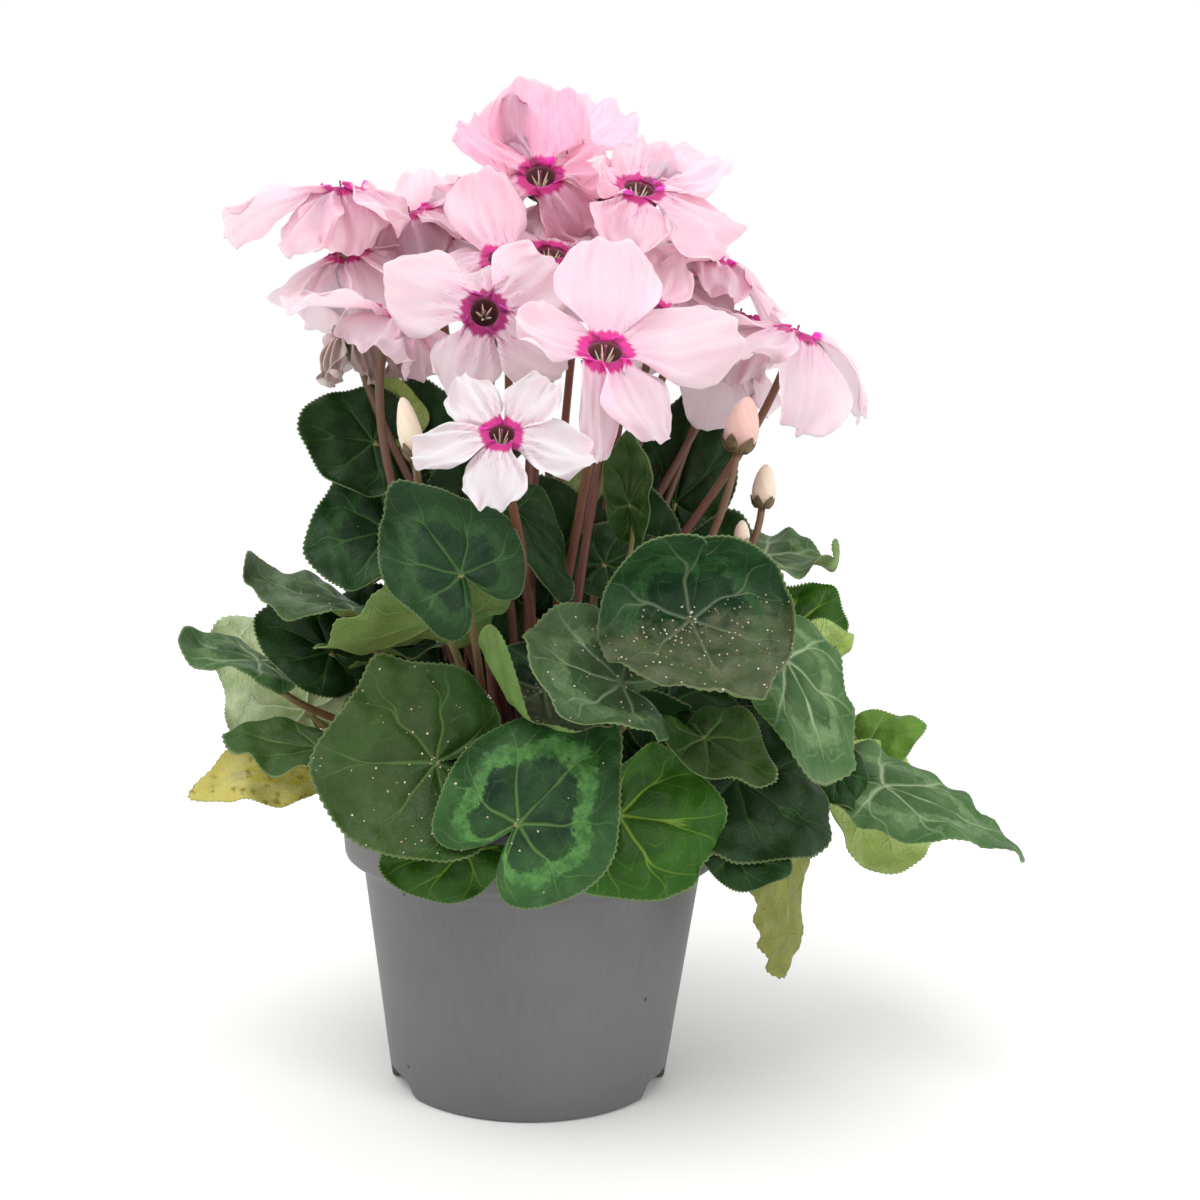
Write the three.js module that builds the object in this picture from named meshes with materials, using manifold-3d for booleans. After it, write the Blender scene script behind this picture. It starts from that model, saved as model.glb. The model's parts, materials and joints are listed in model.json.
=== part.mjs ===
// A cyclamen in flower, growing in a grey nursery pot.
// Millimetres, +Z up. The origin is the centre of the pot's base, on the surface that it stands on.
// -Y is the side that faces the viewer, and +X is to the viewer's right.
//
// The pot, the potting soil and the tuber are one solid each. Every leaf is a blade grown together
// with its stalk, and every flower and bud is grown together with its own.
import * as THREE from "three";
import { mergeVertices } from "three/addons/utils/BufferGeometryUtils.js";
import Module from "manifold-3d";

const wasm = await Module();
wasm.setup();

// ---------------------------------------------------------------- driving dimensions
const GAP = 0.35; // air between two pieces that lie against each other

const POT = {
  height: 88,
  rimRadius: 60, // the outside of the rim band
  stepHeight: 66, // where the wall steps out into the rim band
  stepRadius: 52.8,
  baseRadius: 43.2,
  wall: 1.3,
  footHeight: 3, // how far the floor stands above the ground
  padRadius: 12, // the pad in the middle of the floor, level with the foot
  segments: 32,
};
const NOTCH = { bearings: [-25, 90, 205], width: 21, height: 5.2 }; // drainage cut-outs in the foot
const DRAIN = { count: 6, radius: 3, circle: 27 };
const SOIL = { edgeHeight: 76, middleHeight: 79 };
const TUBER = { radius: 25, halfHeight: 14, middle: 73 };

const LEAF = { thickness: 1.0, sectors: 12, rings: 6 };
const PETAL = { thickness: 1.0, sectors: 6, rings: 4, throatRadius: 5.4 };
const STALK = { leafRadius: 1.4, flowerRadius: 1.6, sides: 4, steps: 6 };

// How each kind of piece is finished, before a row's own colour.
const FINISH = {
  pot: { color: 0x7c7c7d, roughness: 0.5 },
  soil: { color: 0x33251c, roughness: 1 },
  tuber: { color: 0x6b4a35, roughness: 0.9 },
  leaf: { color: 0x2f5a2e, roughness: 0.5 },
  flower: { color: 0xf6c6d6, roughness: 0.7 },
  bud: { color: 0xe9dfc4, roughness: 0.6 },
};

// ---------------------------------------------------------------- where each leaf stands
// at: where the stalk meets the blade. tip: the far end of the midrib. face: the way the green
// upper side looks. wide: half the width, as a share of the distance from at to tip.
// bend and cup: degrees that the blade curls along the midrib (down) and across it (up).
// wave: height of the wavy margin in mm, and phase, where the waves start, in degrees.
// bow: how far the middle of the stalk is pushed aside in mm, so that it clears its neighbours.
const leaves = [
  {
    name: "leaf_front_left_big", at: [-27, -62, 108], tip: [-60, -65, 107], face: [-0.2, -0.9, 0.35],
    wide: 1.12, bend: 10, cup: 25, wave: 2.5, phase: 30,
  },
  {
    name: "leaf_front_marbled", at: [-4, -78, 95], tip: [19, -67, 118], face: [0.05, -0.97, 0.3],
    wide: 0.9, bend: 15, cup: 10, wave: 1.5, phase: 60, bow: [0, -3, 10],
  },
  {
    name: "leaf_front_low_left", at: [-19, -63, 85], tip: [-42, -59, 78], face: [-0.15, -0.95, 0.25],
    wide: 0.7, bend: 10, cup: 5, wave: 1.5, phase: 120, bow: [-9, -9, 10],
  },
  {
    name: "leaf_front_right_bright", at: [23, -66, 95], tip: [52, -57, 90], face: [0.15, -0.97, 0.2],
    wide: 0.98, bend: 15, cup: 0, wave: 3, phase: 0,
  },
  {
    name: "leaf_right_low_dark", at: [57, -46, 102], tip: [83, -46, 84], face: [0.35, -0.85, 0.4],
    wide: 0.95, bend: 20, cup: 5, wave: 1.5, phase: 0,
  },
  {
    name: "leaf_right_small", at: [46, -64, 116], tip: [60, -77, 108], face: [0.25, -0.8, 0.55],
    wide: 0.8, bend: 10, cup: 10, wave: 1.5, phase: 0, bow: [0, 0, 5],
  },
  {
    name: "leaf_mid_variegated", at: [22, -76, 132], tip: [-7, -84, 139], face: [-0.05, -0.62, 0.8],
    wide: 0.95, bend: 10, cup: 25, wave: 2.5, phase: 60,
  },
  {
    name: "leaf_mid_right_big", at: [41, -66, 148], tip: [50, -98, 131], face: [0.05, -0.65, 0.75],
    wide: 0.9, bend: -30, cup: 30, wave: 2, phase: 60,
  },
  {
    name: "leaf_right_mid", at: [70, -47, 136], tip: [80, -62, 105], face: [0.45, -0.72, 0.5],
    wide: 0.62, bend: 25, cup: 15, wave: 1.5, phase: 0,
  },
  {
    name: "leaf_right_back_small", at: [78, -15, 143], tip: [92, -5, 153], face: [0.3, -0.5, 0.8],
    wide: 0.85, bend: 20, cup: 15, wave: 1.5, phase: 0,
  },
  {
    name: "leaf_right_top", at: [72, 8, 164], tip: [96, -4, 161], face: [0.1, -0.3, 0.95],
    wide: 0.8, bend: -15, cup: 20, wave: 3, phase: 0,
  },
  {
    name: "leaf_right_far_bright", at: [109, 24, 99], tip: [128, 18, 108], face: [0.4, -0.6, 0.7],
    wide: 0.75, bend: 10, cup: 10, wave: 1.5, phase: 0, bow: [0, 3, 0],
  },
  {
    name: "leaf_right_far_tip", at: [108, -12, 94], tip: [149, -20, 76], face: [0.25, -0.55, 0.8],
    wide: 0.6, bend: 20, cup: -15, wave: 1.5, phase: 0, bow: [0, 0, 5],
  },
  {
    name: "leaf_right_far_under", at: [110, 10, 78], tip: [126, 26, 56], face: [0.1, 0.85, -0.5],
    wide: 1.0, bend: 10, cup: 0, wave: 2.5, phase: 0, bow: [0, 6, -4],
  },
  {
    name: "leaf_right_hanging", at: [77, -22, 80], tip: [75, -26, 39], face: [-0.75, 0.5, 0.1],
    wide: 0.62, bend: -5, cup: 15, wave: 1.5, phase: 0, bow: [0, 0, 5],
  },
  {
    name: "leaf_centre_bowl", at: [2, -62, 128], tip: [6, -84, 118], face: [0.05, -0.2, 0.98],
    wide: 1.15, bend: -35, cup: 60, wave: 1.5, phase: 30,
  },
  {
    name: "leaf_left_mid_marbled", at: [-21, -62, 159], tip: [-38, -54, 180], face: [0.15, -0.97, 0.25],
    wide: 0.86, bend: 15, cup: 5, wave: 2, phase: 0, bow: [0, 4, 0],
  },
  {
    name: "leaf_left_upper_low", at: [-47, -4, 169], tip: [-71, -8, 162], face: [-0.35, -0.85, 0.35],
    wide: 1.1, bend: 10, cup: 20, wave: 1.5, phase: 0, bow: [-3, 0, 0],
  },
  {
    name: "leaf_left_upper_high", at: [-51, -9, 196], tip: [-72, -15, 198], face: [-0.3, -0.92, 0.25],
    wide: 1.0, bend: 15, cup: 15, wave: 1.5, phase: 60, bow: [3, -3, 0],
  },
  {
    name: "leaf_left_level", at: [-55, -22, 147], tip: [-89, -18, 157], face: [-0.05, -0.12, 1],
    wide: 0.75, bend: -10, cup: -20, wave: 2, phase: 0,
  },
  {
    name: "leaf_left_turned", at: [-28, -44, 145], tip: [-62, -52, 135], face: [-0.15, 0.55, 0.85],
    wide: 0.7, bend: 10, cup: 20, wave: 2, phase: 0,
  },
  {
    name: "leaf_left_dark_small", at: [-62, -18, 133], tip: [-82, -22, 144], face: [-0.3, -0.8, 0.55],
    wide: 0.8, bend: 10, cup: 10, wave: 2, phase: 0,
  },
  {
    name: "leaf_left_far_tip", at: [-84, -12, 129], tip: [-108, -9, 135], face: [-0.1, -0.25, 1],
    wide: 0.6, bend: 10, cup: -30, wave: 1.5, phase: 0, bow: [0, -6, 0],
  },
  {
    name: "leaf_left_pale", at: [-72, 4, 112], tip: [-99, 14, 139], face: [-0.4, 0.8, -0.1],
    wide: 0.75, bend: 10, cup: 15, wave: 2, phase: 0,
  },
  {
    name: "leaf_left_low", at: [-63, -30, 106], tip: [-89, -28, 109], face: [-0.1, -0.35, 0.95],
    wide: 0.75, bend: 10, cup: -15, wave: 2, phase: 0,
  },
  {
    name: "leaf_left_yellow", at: [-69, -12, 99], tip: [-100, -18, 91], face: [-0.2, -0.75, 0.45],
    wide: 0.5, bend: 15, cup: 20, wave: 2, phase: 0, colour: 0xb9a443,
  },
  {
    name: "leaf_upper_right_dark", at: [44, 24, 180], tip: [52, 30, 218], face: [0, -1, -0.05],
    wide: 0.6, bend: 10, cup: 15, wave: 1.5, phase: 0, bow: [0, -9, 0],
  },
  {
    name: "leaf_centre_back_round", at: [20, -14, 161], tip: [35, -12, 168], face: [0.1, -0.9, 0.3],
    wide: 0.9, bend: 10, cup: 10, wave: 1.5, phase: 0,
  },
  {
    name: "leaf_centre_back_dark", at: [4, 20, 158], tip: [-3, 26, 188], face: [-0.1, -1, 0.1],
    wide: 0.8, bend: 10, cup: 15, wave: 1.5, phase: 0, bow: [3, -3, 0],
  },
  {
    name: "leaf_back_right_low", at: [52, 42, 104], tip: [78, 60, 88], face: [0.6, 0.5, 0.6],
    wide: 0.85, bend: 15, cup: 10, wave: 2, phase: 0,
  },
  {
    name: "leaf_back_low", at: [10, 62, 104], tip: [14, 96, 88], face: [0.1, 0.7, 0.7],
    wide: 0.85, bend: 20, cup: 10, wave: 2, phase: 40, bow: [-3, 0, 0],
  },
  {
    name: "leaf_back_left_low", at: [-44, 50, 102], tip: [-70, 72, 90], face: [-0.5, 0.55, 0.65],
    wide: 0.85, bend: 15, cup: 5, wave: 2, phase: 90,
  },
  {
    name: "leaf_back_right_mid", at: [45, 46, 139], tip: [67, 68, 127], face: [0.4, 0.5, 0.8],
    wide: 0.85, bend: 15, cup: 15, wave: 2, phase: 20,
  },
  {
    name: "leaf_back_mid", at: [-4, 52, 142], tip: [-8, 86, 134], face: [0, 0.5, 0.87],
    wide: 0.85, bend: 20, cup: 10, wave: 2, phase: 70,
  },
  {
    name: "leaf_back_left_mid", at: [-42, 38, 140], tip: [-68, 56, 132], face: [-0.4, 0.4, 0.85],
    wide: 0.85, bend: 15, cup: 10, wave: 2, phase: 50,
  },
  {
    name: "leaf_back_high", at: [10, 38, 176], tip: [16, 58, 196], face: [0.1, 0.85, -0.3],
    wide: 0.85, bend: 15, cup: 15, wave: 2, phase: 0, bow: [6, 0, 0],
  },
];

// ---------------------------------------------------------------- where each flower stands
// mouth: the middle of the ring that the petals spread from. faces: the way the mouth looks.
// Each petal is [bearing round the mouth, clockwise from the top; length; width; rise at its root
// and rise at its tip, out of the plane of the mouth; twist], in degrees and millimetres.
// bow pushes the middle of the stalk aside, as a leaf's does.
const flowers = [
  {
    name: "flower_front", mouth: [16, -72, 218], faces: [0.05, -0.7, 0.72],
    petals: [
      [3, 31, 22, 15, 35, 0], [82, 33, 22, 0, 0, 0], [148, 25, 16, -20, -30, 10],
      [186, 27, 9, -30, -40, 30], [285, 20, 16, 10, 25, 0],
    ],
  },
  {
    name: "flower_mid_left", mouth: [-16, -58, 229], faces: [0.06, -0.98, 0.1],
    petals: [
      [288, 25, 19, -5, -15, 10], [48, 22, 19, -10, -15, 0], [118, 23, 18, -10, -30, 0],
      [196, 21, 15, -15, -30, 0], [345, 16, 17, -30, -60, 0],
    ],
  },
  {
    name: "flower_low_white", mouth: [-10, -88, 195], faces: [0.05, -0.8, 0.6], bow: [6, 6, 5],
    petals: [
      [256, 20, 13, 0, -20, 0], [325, 16, 15, 5, 15, 0], [36, 18, 14, 5, 15, 0],
      [98, 21, 18, 0, -15, 0], [190, 18, 16, -5, -15, 0],
    ],
  },
  {
    name: "flower_upper_right", mouth: [27, -22, 271], faces: [0.12, -0.66, 0.75],
    petals: [
      [55, 30, 20, 0, 10, 0], [113, 28, 24, -10, -25, 0], [195, 18, 20, -20, -45, 0],
      [272, 12, 11, 15, 60, 0], [14, 19, 17, 5, 25, 0],
    ],
  },
  {
    name: "flower_top", mouth: [-2, -3, 278], faces: [-0.02, -0.85, 0.55], bow: [0, -6, 0],
    petals: [
      [0, 27, 26, 20, 30, 0], [312, 26, 22, 10, 15, 0], [72, 18, 16, 0, 20, 0],
      [130, 19, 18, -25, -50, 0], [252, 22, 18, -15, -35, 0],
    ],
  },
  {
    name: "flower_left_high", mouth: [-62, -6, 272], faces: [-0.05, -0.2, 0.98],
    petals: [
      [258, 33, 20, -15, -35, -30], [212, 26, 18, -35, -60, 0], [168, 21, 20, -55, -80, 0],
      [105, 20, 18, -20, -50, 0], [20, 22, 18, -10, -30, 0],
    ],
  },
  {
    name: "flower_left_low", mouth: [-43, -26, 232], faces: [0.35, -0.12, 0.92], bow: [6, -8, 0],
    petals: [
      [270, 31, 16, -5, -25, -25], [222, 20, 19, -25, -45, 0], [150, 18, 18, -45, -75, 0],
      [95, 20, 18, -25, -50, 0], [10, 20, 16, 0, -20, 0],
    ],
  },
  {
    name: "flower_right_low", mouth: [76, -14, 232], faces: [0.28, -0.14, 0.94],
    petals: [
      [180, 31, 24, -55, -80, 0], [88, 40, 16, 5, -65, 0], [255, 22, 16, -25, -45, 0],
      [40, 24, 16, 0, -25, 0], [320, 22, 16, -10, -30, 0],
    ],
  },
  {
    name: "flower_right_high", mouth: [53, 1, 255], faces: [0.35, -0.05, 0.93], bow: [-3, -9, 10],
    petals: [
      [84, 29, 20, 0, -20, -25], [140, 24, 18, -25, -45, 0], [268, 22, 18, -20, -30, 0],
      [210, 20, 17, -30, -50, 0], [5, 20, 16, 0, -20, 0],
    ],
  },
  {
    name: "flower_behind_mid", mouth: [-12, -28, 248], faces: [0.12, -0.62, 0.78], bow: [0, -3, 0],
    petals: [
      [345, 28, 20, 20, 35, 0], [275, 20, 16, -20, -45, 0], [75, 22, 18, -15, -40, 0],
      [135, 16, 14, -40, -65, 0], [215, 16, 14, -40, -65, 0],
    ],
  },
  {
    name: "flower_behind_top", mouth: [6, 22, 290], faces: [0.15, -0.5, 0.85], bow: [3, -9, -5],
    petals: [
      [40, 32, 19, 15, 25, 0], [340, 20, 16, 20, 35, 0], [98, 20, 17, -15, -45, 0],
      [275, 18, 15, -10, -40, 0], [200, 16, 15, -40, -65, 0],
    ],
  },
  {
    name: "flower_left_back", mouth: [-43, 13, 269], faces: [-0.25, -0.25, 0.93], bow: [4, -4, 0],
    petals: [
      [50, 20, 17, 5, 20, 0], [102, 25, 18, -15, -45, 0], [165, 22, 19, -45, -85, 0],
      [280, 22, 16, -10, -35, 0], [345, 22, 17, -5, -25, 0],
    ],
  },
  {
    name: "flower_left_inner", mouth: [-57, 26, 257], faces: [-0.25, -0.3, 0.92],
    petals: [
      [262, 22, 17, -25, -45, 0], [190, 20, 18, -40, -65, 0], [115, 18, 17, -20, -55, 0],
      [40, 18, 16, -10, -30, 0], [325, 18, 16, -10, -30, 0],
    ],
  },
  {
    name: "flower_right_inner", mouth: [31, -36, 234], faces: [0.3, -0.5, 0.8], bow: [-3, -3, 0],
    petals: [
      [300, 16, 14, 0, 0, 0], [20, 20, 17, 20, 30, 0], [90, 18, 16, -10, -25, 0],
      [155, 15, 14, -35, -60, 0], [225, 15, 14, -40, -60, 0],
    ],
  },
  {
    name: "flower_right_back", mouth: [63, 18, 241], faces: [0.2, -0.1, 0.97], bow: [-3, 0, 0],
    petals: [
      [212, 27, 17, -40, -80, 0], [95, 20, 16, -20, -60, 0], [262, 24, 17, -20, -55, 0],
      [165, 22, 16, -60, -88, 0], [10, 20, 16, 0, -30, 0],
    ],
  },
  {
    name: "flower_wilted", mouth: [-56, -12, 229], faces: [-0.1, -0.1, 0.98], bow: [6, -3, 5],
    colour: 0x9a7376,
    petals: [
      [0, 15, 8, -50, -88, 0], [75, 16, 8, -50, -88, 0], [145, 17, 8, -50, -88, 0],
      [215, 17, 8, -50, -88, 0], [290, 15, 8, -50, -88, 0],
    ],
  },
];

// at: where the stalk meets the bud. tip: the bud's point. radius: half its greatest width. bow is
// the stalk's, as above.
const buds = [
  { name: "bud_left", at: [-35, -44, 190], tip: [-39, -44, 207], radius: 3.5, bow: [-6, 3, 5] },
  { name: "bud_right", at: [67, -14, 179], tip: [68, -14, 192], radius: 3.7 },
  { name: "bud_small", at: [60, -22, 168], tip: [60, -22, 175], radius: 2.4, bow: [0, 3, 0] },
  { name: "bud_pink", at: [57, -28, 195], tip: [60, -28, 211], radius: 5.2, bow: [3, 3, 0] },
];

// ---------------------------------------------------------------- solids from three.js geometry
const turn = THREE.MathUtils.degToRad;
const point = ([x, y, z]) => new THREE.Vector3(x, y, z);

// A closed three.js geometry as a solid that can be joined and cut.
function solidOf(geometry) {
  const bare = geometry.clone();
  bare.deleteAttribute("normal");
  bare.deleteAttribute("uv");
  const merged = mergeVertices(bare, 1e-3);
  return new wasm.Manifold(
    new wasm.Mesh({
      numProp: 3,
      vertProperties: merged.attributes.position.array,
      triVerts: new Uint32Array(merged.index.array),
    }),
  );
}

// A solid as a flat-shaded mesh geometry.
function geometryOf(solid) {
  const mesh = solid.getMesh();
  const positions = new Float32Array(mesh.numVert * 3);
  for (let i = 0; i < mesh.numVert; i++)
    positions.set(mesh.vertProperties.subarray(i * mesh.numProp, i * mesh.numProp + 3), i * 3);
  const geometry = new THREE.BufferGeometry();
  geometry.setAttribute("position", new THREE.BufferAttribute(positions, 3));
  geometry.setIndex(new THREE.BufferAttribute(mesh.triVerts, 1));
  const flat = geometry.toNonIndexed();
  flat.computeVertexNormals();
  return flat;
}

// A round body about Z from a closed profile of [radius, height] points.
function turned(profile, segments) {
  const points = profile.map(([radius, height]) => new THREE.Vector2(radius, height));
  const lathe = new THREE.LatheGeometry(points, segments);
  return solidOf(lathe.rotateX(Math.PI / 2));
}

// A sphere pressed flat: place(angle, share, side) says where each of its points goes, with share
// 0 in the middle and 1 at the margin, and side 1 on the upper face and -1 on the lower one.
function pressedSheet(sectors, rings, place) {
  const sphere = new THREE.SphereGeometry(1, sectors, rings);
  const position = sphere.attributes.position;
  const spot = new THREE.Vector3();
  for (let i = 0; i < position.count; i++) {
    spot.fromBufferAttribute(position, i);
    const share = Math.min(1, Math.hypot(spot.x, spot.z));
    const placed = place(Math.atan2(spot.x, -spot.z), share, spot.y);
    position.setXYZ(i, placed.x, placed.y, placed.z);
  }
  return solidOf(sphere);
}

// A round stalk along a curve.
function stalkSolid(curve, radius) {
  const corners = Array.from({ length: STALK.sides }, (_, i) => (2 * Math.PI * i) / STALK.sides);
  const section = new THREE.Shape(
    corners.map((a) => new THREE.Vector2(radius * Math.cos(a), radius * Math.sin(a))),
  );
  const geometry = new THREE.ExtrudeGeometry(section, {
    steps: STALK.steps,
    bevelEnabled: false,
    extrudePath: curve,
  });
  return solidOf(geometry);
}

// ---------------------------------------------------------------- pot, soil and tuber
function makePot() {
  const { height, rimRadius, stepHeight, stepRadius, baseRadius, wall, footHeight, padRadius } = POT;
  const floorTop = footHeight + wall;
  const profile = [
    [0, 0],
    [padRadius, 0],
    [padRadius + 2, footHeight],
    [baseRadius - 6.5, footHeight],
    [baseRadius - 4.5, 0],
    [baseRadius - 1, 0],
    [baseRadius, 1.5],
    [stepRadius, stepHeight],
    [stepRadius + 4.6, stepHeight + 3.6],
    [rimRadius - 1.4, stepHeight + 5.5],
    [rimRadius, height - 1],
    [rimRadius - 0.6, height],
    [rimRadius - wall - 0.4, height],
    [rimRadius - wall - 1.8, stepHeight + 6.5],
    [stepRadius + 3.6, stepHeight + 4.6],
    [stepRadius - wall, stepHeight + 1],
    [baseRadius - wall + 0.6, floorTop],
    [padRadius + 3, floorTop],
    [padRadius + 1, wall],
    [0, wall],
  ];
  let pot = turned(profile, POT.segments);
  for (const bearing of NOTCH.bearings) {
    const outline = new THREE.Shape();
    const half = NOTCH.width / 2;
    outline.moveTo(-half, -1);
    outline.lineTo(half, -1);
    outline.lineTo(half - 3, NOTCH.height - 1);
    outline.lineTo(half - 5.5, NOTCH.height);
    outline.lineTo(5.5 - half, NOTCH.height);
    outline.lineTo(3 - half, NOTCH.height - 1);
    const cutter = new THREE.ExtrudeGeometry(outline, { depth: 9, bevelEnabled: false });
    cutter.rotateX(Math.PI / 2).rotateZ(Math.PI / 2);
    cutter.translate(baseRadius - 7.6, 0, 0).rotateZ(turn(bearing));
    pot = pot.subtract(solidOf(cutter));
  }
  for (let i = 0; i < DRAIN.count; i++) {
    const hole = new THREE.CylinderGeometry(DRAIN.radius, DRAIN.radius, 4, 12);
    hole.rotateX(Math.PI / 2).translate(DRAIN.circle, 0, footHeight + wall / 2);
    hole.rotateZ((2 * Math.PI * (i + 0.5)) / DRAIN.count);
    pot = pot.subtract(solidOf(hole));
  }
  return pot;
}

// The tuber grown by a margin, so that the soil can leave it room.
function tuberSolid(margin) {
  return pressedSheet(20, 10, (angle, share, side) => {
    const radius = (TUBER.radius + margin) * share;
    return new THREE.Vector3(
      radius * Math.sin(angle),
      radius * Math.cos(angle),
      TUBER.middle + (TUBER.halfHeight + margin) * side,
    );
  });
}

function makeSoil() {
  const { stepHeight, stepRadius, baseRadius, wall, footHeight, padRadius } = POT;
  const bottom = footHeight + wall + GAP;
  const profile = [
    [0, bottom],
    [baseRadius - wall + 0.6 - GAP, bottom],
    [stepRadius - wall - GAP - 0.2, stepHeight],
    [stepRadius - wall - GAP, stepHeight + 1.4],
    [stepRadius + 3.2 - GAP, stepHeight + 5.2],
    [stepRadius + 3.6 - GAP, SOIL.edgeHeight],
    [TUBER.radius + 8, SOIL.middleHeight],
    [0, SOIL.middleHeight],
  ];
  return turned(profile, POT.segments).subtract(tuberSolid(GAP));
}

// ---------------------------------------------------------------- leaf blades
// The blade's outline: how far its margin is from the stalk, as a share of the midrib, by angle
// from the midrib. It has two round lobes behind the stalk and a narrow notch between them.
function outline(angle) {
  const away = Math.abs(angle) / Math.PI;
  const notch = 1 - 0.86 * Math.exp(-(((1 - away) / 0.07) ** 2));
  const tip = 1 + 0.06 * Math.exp(-((angle / 0.3) ** 2));
  return ((1 - 0.42 * away ** 1.1) * notch * tip) / 1.06;
}

// Axes with Z along one direction and Y as near as it can be to another.
function axesFrom(zWard, yWard) {
  const y = yWard.clone().normalize();
  const x = new THREE.Vector3().crossVectors(y, zWard).normalize();
  const z = new THREE.Vector3().crossVectors(x, y);
  return new THREE.Matrix4().makeBasis(x, y, z);
}

// Rolls a flat point up by an angle over the given length: returns [along, lift].
function curl(distance, degrees, length) {
  const rate = turn(degrees) / length;
  if (Math.abs(rate) < 1e-6) return [distance, 0];
  return [Math.sin(rate * distance) / rate, (1 - Math.cos(rate * distance)) / rate];
}

function bladeSolid(leaf) {
  const at = point(leaf.at);
  const reach = point(leaf.tip).sub(at);
  const half = turn(leaf.bend) / 2;
  const length = Math.abs(half) < 1e-6 ? reach.length() : (reach.length() * half) / Math.sin(half);
  const frame = axesFrom(point(leaf.face), reach);
  frame.multiply(new THREE.Matrix4().makeRotationX(half)).setPosition(at);
  return pressedSheet(LEAF.sectors, LEAF.rings, (angle, share, side) => {
    const radius = outline(angle) * length * share;
    const [across, up] = curl(radius * leaf.wide * Math.sin(angle), leaf.cup, length);
    const wave = leaf.wave * share ** 2 * Math.sin(3 * angle + turn(leaf.phase));
    const height = up + wave + (side * LEAF.thickness) / 2;
    const [along, drop] = curl(radius * Math.cos(angle), leaf.bend, length);
    const slope = turn(leaf.bend) * ((radius * Math.cos(angle)) / length);
    return new THREE.Vector3(
      across,
      along + height * Math.sin(slope),
      height * Math.cos(slope) - drop,
    ).applyMatrix4(frame);
  });
}

// ---------------------------------------------------------------- flowers and buds
const smooth = THREE.MathUtils.smoothstep;

// One petal, in the mouth's own axes: Z is the way the mouth faces, and Y is up.
function petalSolid([bearing, length, width, rootRise, tipRise, twist]) {
  const outward = new THREE.Vector3(Math.sin(turn(bearing)), Math.cos(turn(bearing)), 0);
  const sideways = new THREE.Vector3(outward.y, -outward.x, 0);
  const axis = new THREE.Vector3(0, 0, 1);
  const corner = Math.PI / PETAL.sectors;
  return pressedSheet(PETAL.sectors, PETAL.rings, (angle, share, side) => {
    const s = 0.5 + (share * Math.cos(angle + corner)) / (2 * Math.cos(corner));
    const breadth = width * (0.25 + 0.75 * smooth(s, 0, 0.5)) * (1 - 0.35 * smooth(s, 0.6, 1));
    const across = share * Math.sign(Math.sin(angle + corner)) * (breadth / 2);
    const mean = turn(rootRise) + (turn(tipRise - rootRise) * s) / 2;
    const rise = turn(rootRise) + turn(tipRise - rootRise) * s;
    const centre = outward
      .clone()
      .multiplyScalar(PETAL.throatRadius - 1 + s * length * Math.cos(mean))
      .addScaledVector(axis, s * length * Math.sin(mean));
    const upper = outward.clone().multiplyScalar(-Math.sin(rise)).addScaledVector(axis, Math.cos(rise));
    const lean = turn(twist) * s;
    const flat = sideways.clone().multiplyScalar(Math.cos(lean)).addScaledVector(upper, Math.sin(lean));
    const proud = upper.clone().multiplyScalar(Math.cos(lean)).addScaledVector(sideways, -Math.sin(lean));
    return centre
      .addScaledVector(flat, across)
      .addScaledVector(proud, (side * PETAL.thickness) / 2);
  });
}

const throatProfile = [
  [0, -8.6],
  [2.2, -8.4],
  [4.6, -6.2],
  [PETAL.throatRadius, -2.5],
  [PETAL.throatRadius, 0.6],
  [4.2, 0.6],
  [3.4, -3],
  [0, -4.4],
];

function flowerHead(flower) {
  let head = turned(throatProfile, 6);
  for (const petal of flower.petals) head = head.add(petalSolid(petal));
  const up = new THREE.Vector3(0, 0.3, 1);
  const frame = axesOfMouth(flower, up).setPosition(point(flower.mouth));
  return head.transform(frame.elements);
}

// Axes with Z along the way the mouth faces and Y the nearest way to up.
function axesOfMouth(flower, up) {
  const z = point(flower.faces).normalize();
  const y = up.clone().addScaledVector(z, -up.dot(z)).normalize();
  return new THREE.Matrix4().makeBasis(new THREE.Vector3().crossVectors(y, z), y, z);
}

// A bud is a spindle that is blunt at the calyx and drawn out at the point.
function budBody(bud) {
  const reach = point(bud.tip).sub(point(bud.at));
  const length = reach.length();
  const profile = [
    [0, -0.6],
    [bud.radius * 0.55, 0],
    [bud.radius, length * 0.3],
    [bud.radius * 0.86, length * 0.62],
    [bud.radius * 0.45, length * 0.92],
    [0, length],
  ];
  const frame = new THREE.Matrix4().makeRotationFromQuaternion(
    new THREE.Quaternion().setFromUnitVectors(new THREE.Vector3(0, 0, 1), reach.normalize()),
  );
  return turned(profile, 8).transform(frame.setPosition(point(bud.at)).elements);
}

// ---------------------------------------------------------------- stalks
// Every stalk leaves the tuber on the side that it leans to: the stalks of a ring are taken in the
// order in which their heads stand round the plant, and set out evenly round the tuber's shoulder.
function rootsOnTuber(ends, ringRadii) {
  const bearings = ends.map((end) => Math.atan2(end.y, end.x));
  const order = ends.map((_, i) => i).sort((a, b) => bearings[a] - bearings[b]);
  const step = (2 * Math.PI) / ends.length;
  const drift = order.reduce((sum, i, rank) => sum + bearings[i] - rank * step, 0) / ends.length;
  const roots = [];
  order.forEach((i, rank) => {
    const bearing = rank * step + drift;
    const radius = ringRadii[rank % ringRadii.length];
    const share = radius / TUBER.radius;
    const surface = new THREE.Vector3(
      radius * Math.cos(bearing),
      radius * Math.sin(bearing),
      TUBER.middle + TUBER.halfHeight * Math.sqrt(1 - share * share),
    );
    const normal = new THREE.Vector3(
      surface.x / TUBER.radius ** 2,
      surface.y / TUBER.radius ** 2,
      (surface.z - TUBER.middle) / TUBER.halfHeight ** 2,
    ).normalize();
    roots[i] = { spot: surface.addScaledVector(normal, GAP), normal };
  });
  return roots;
}

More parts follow.
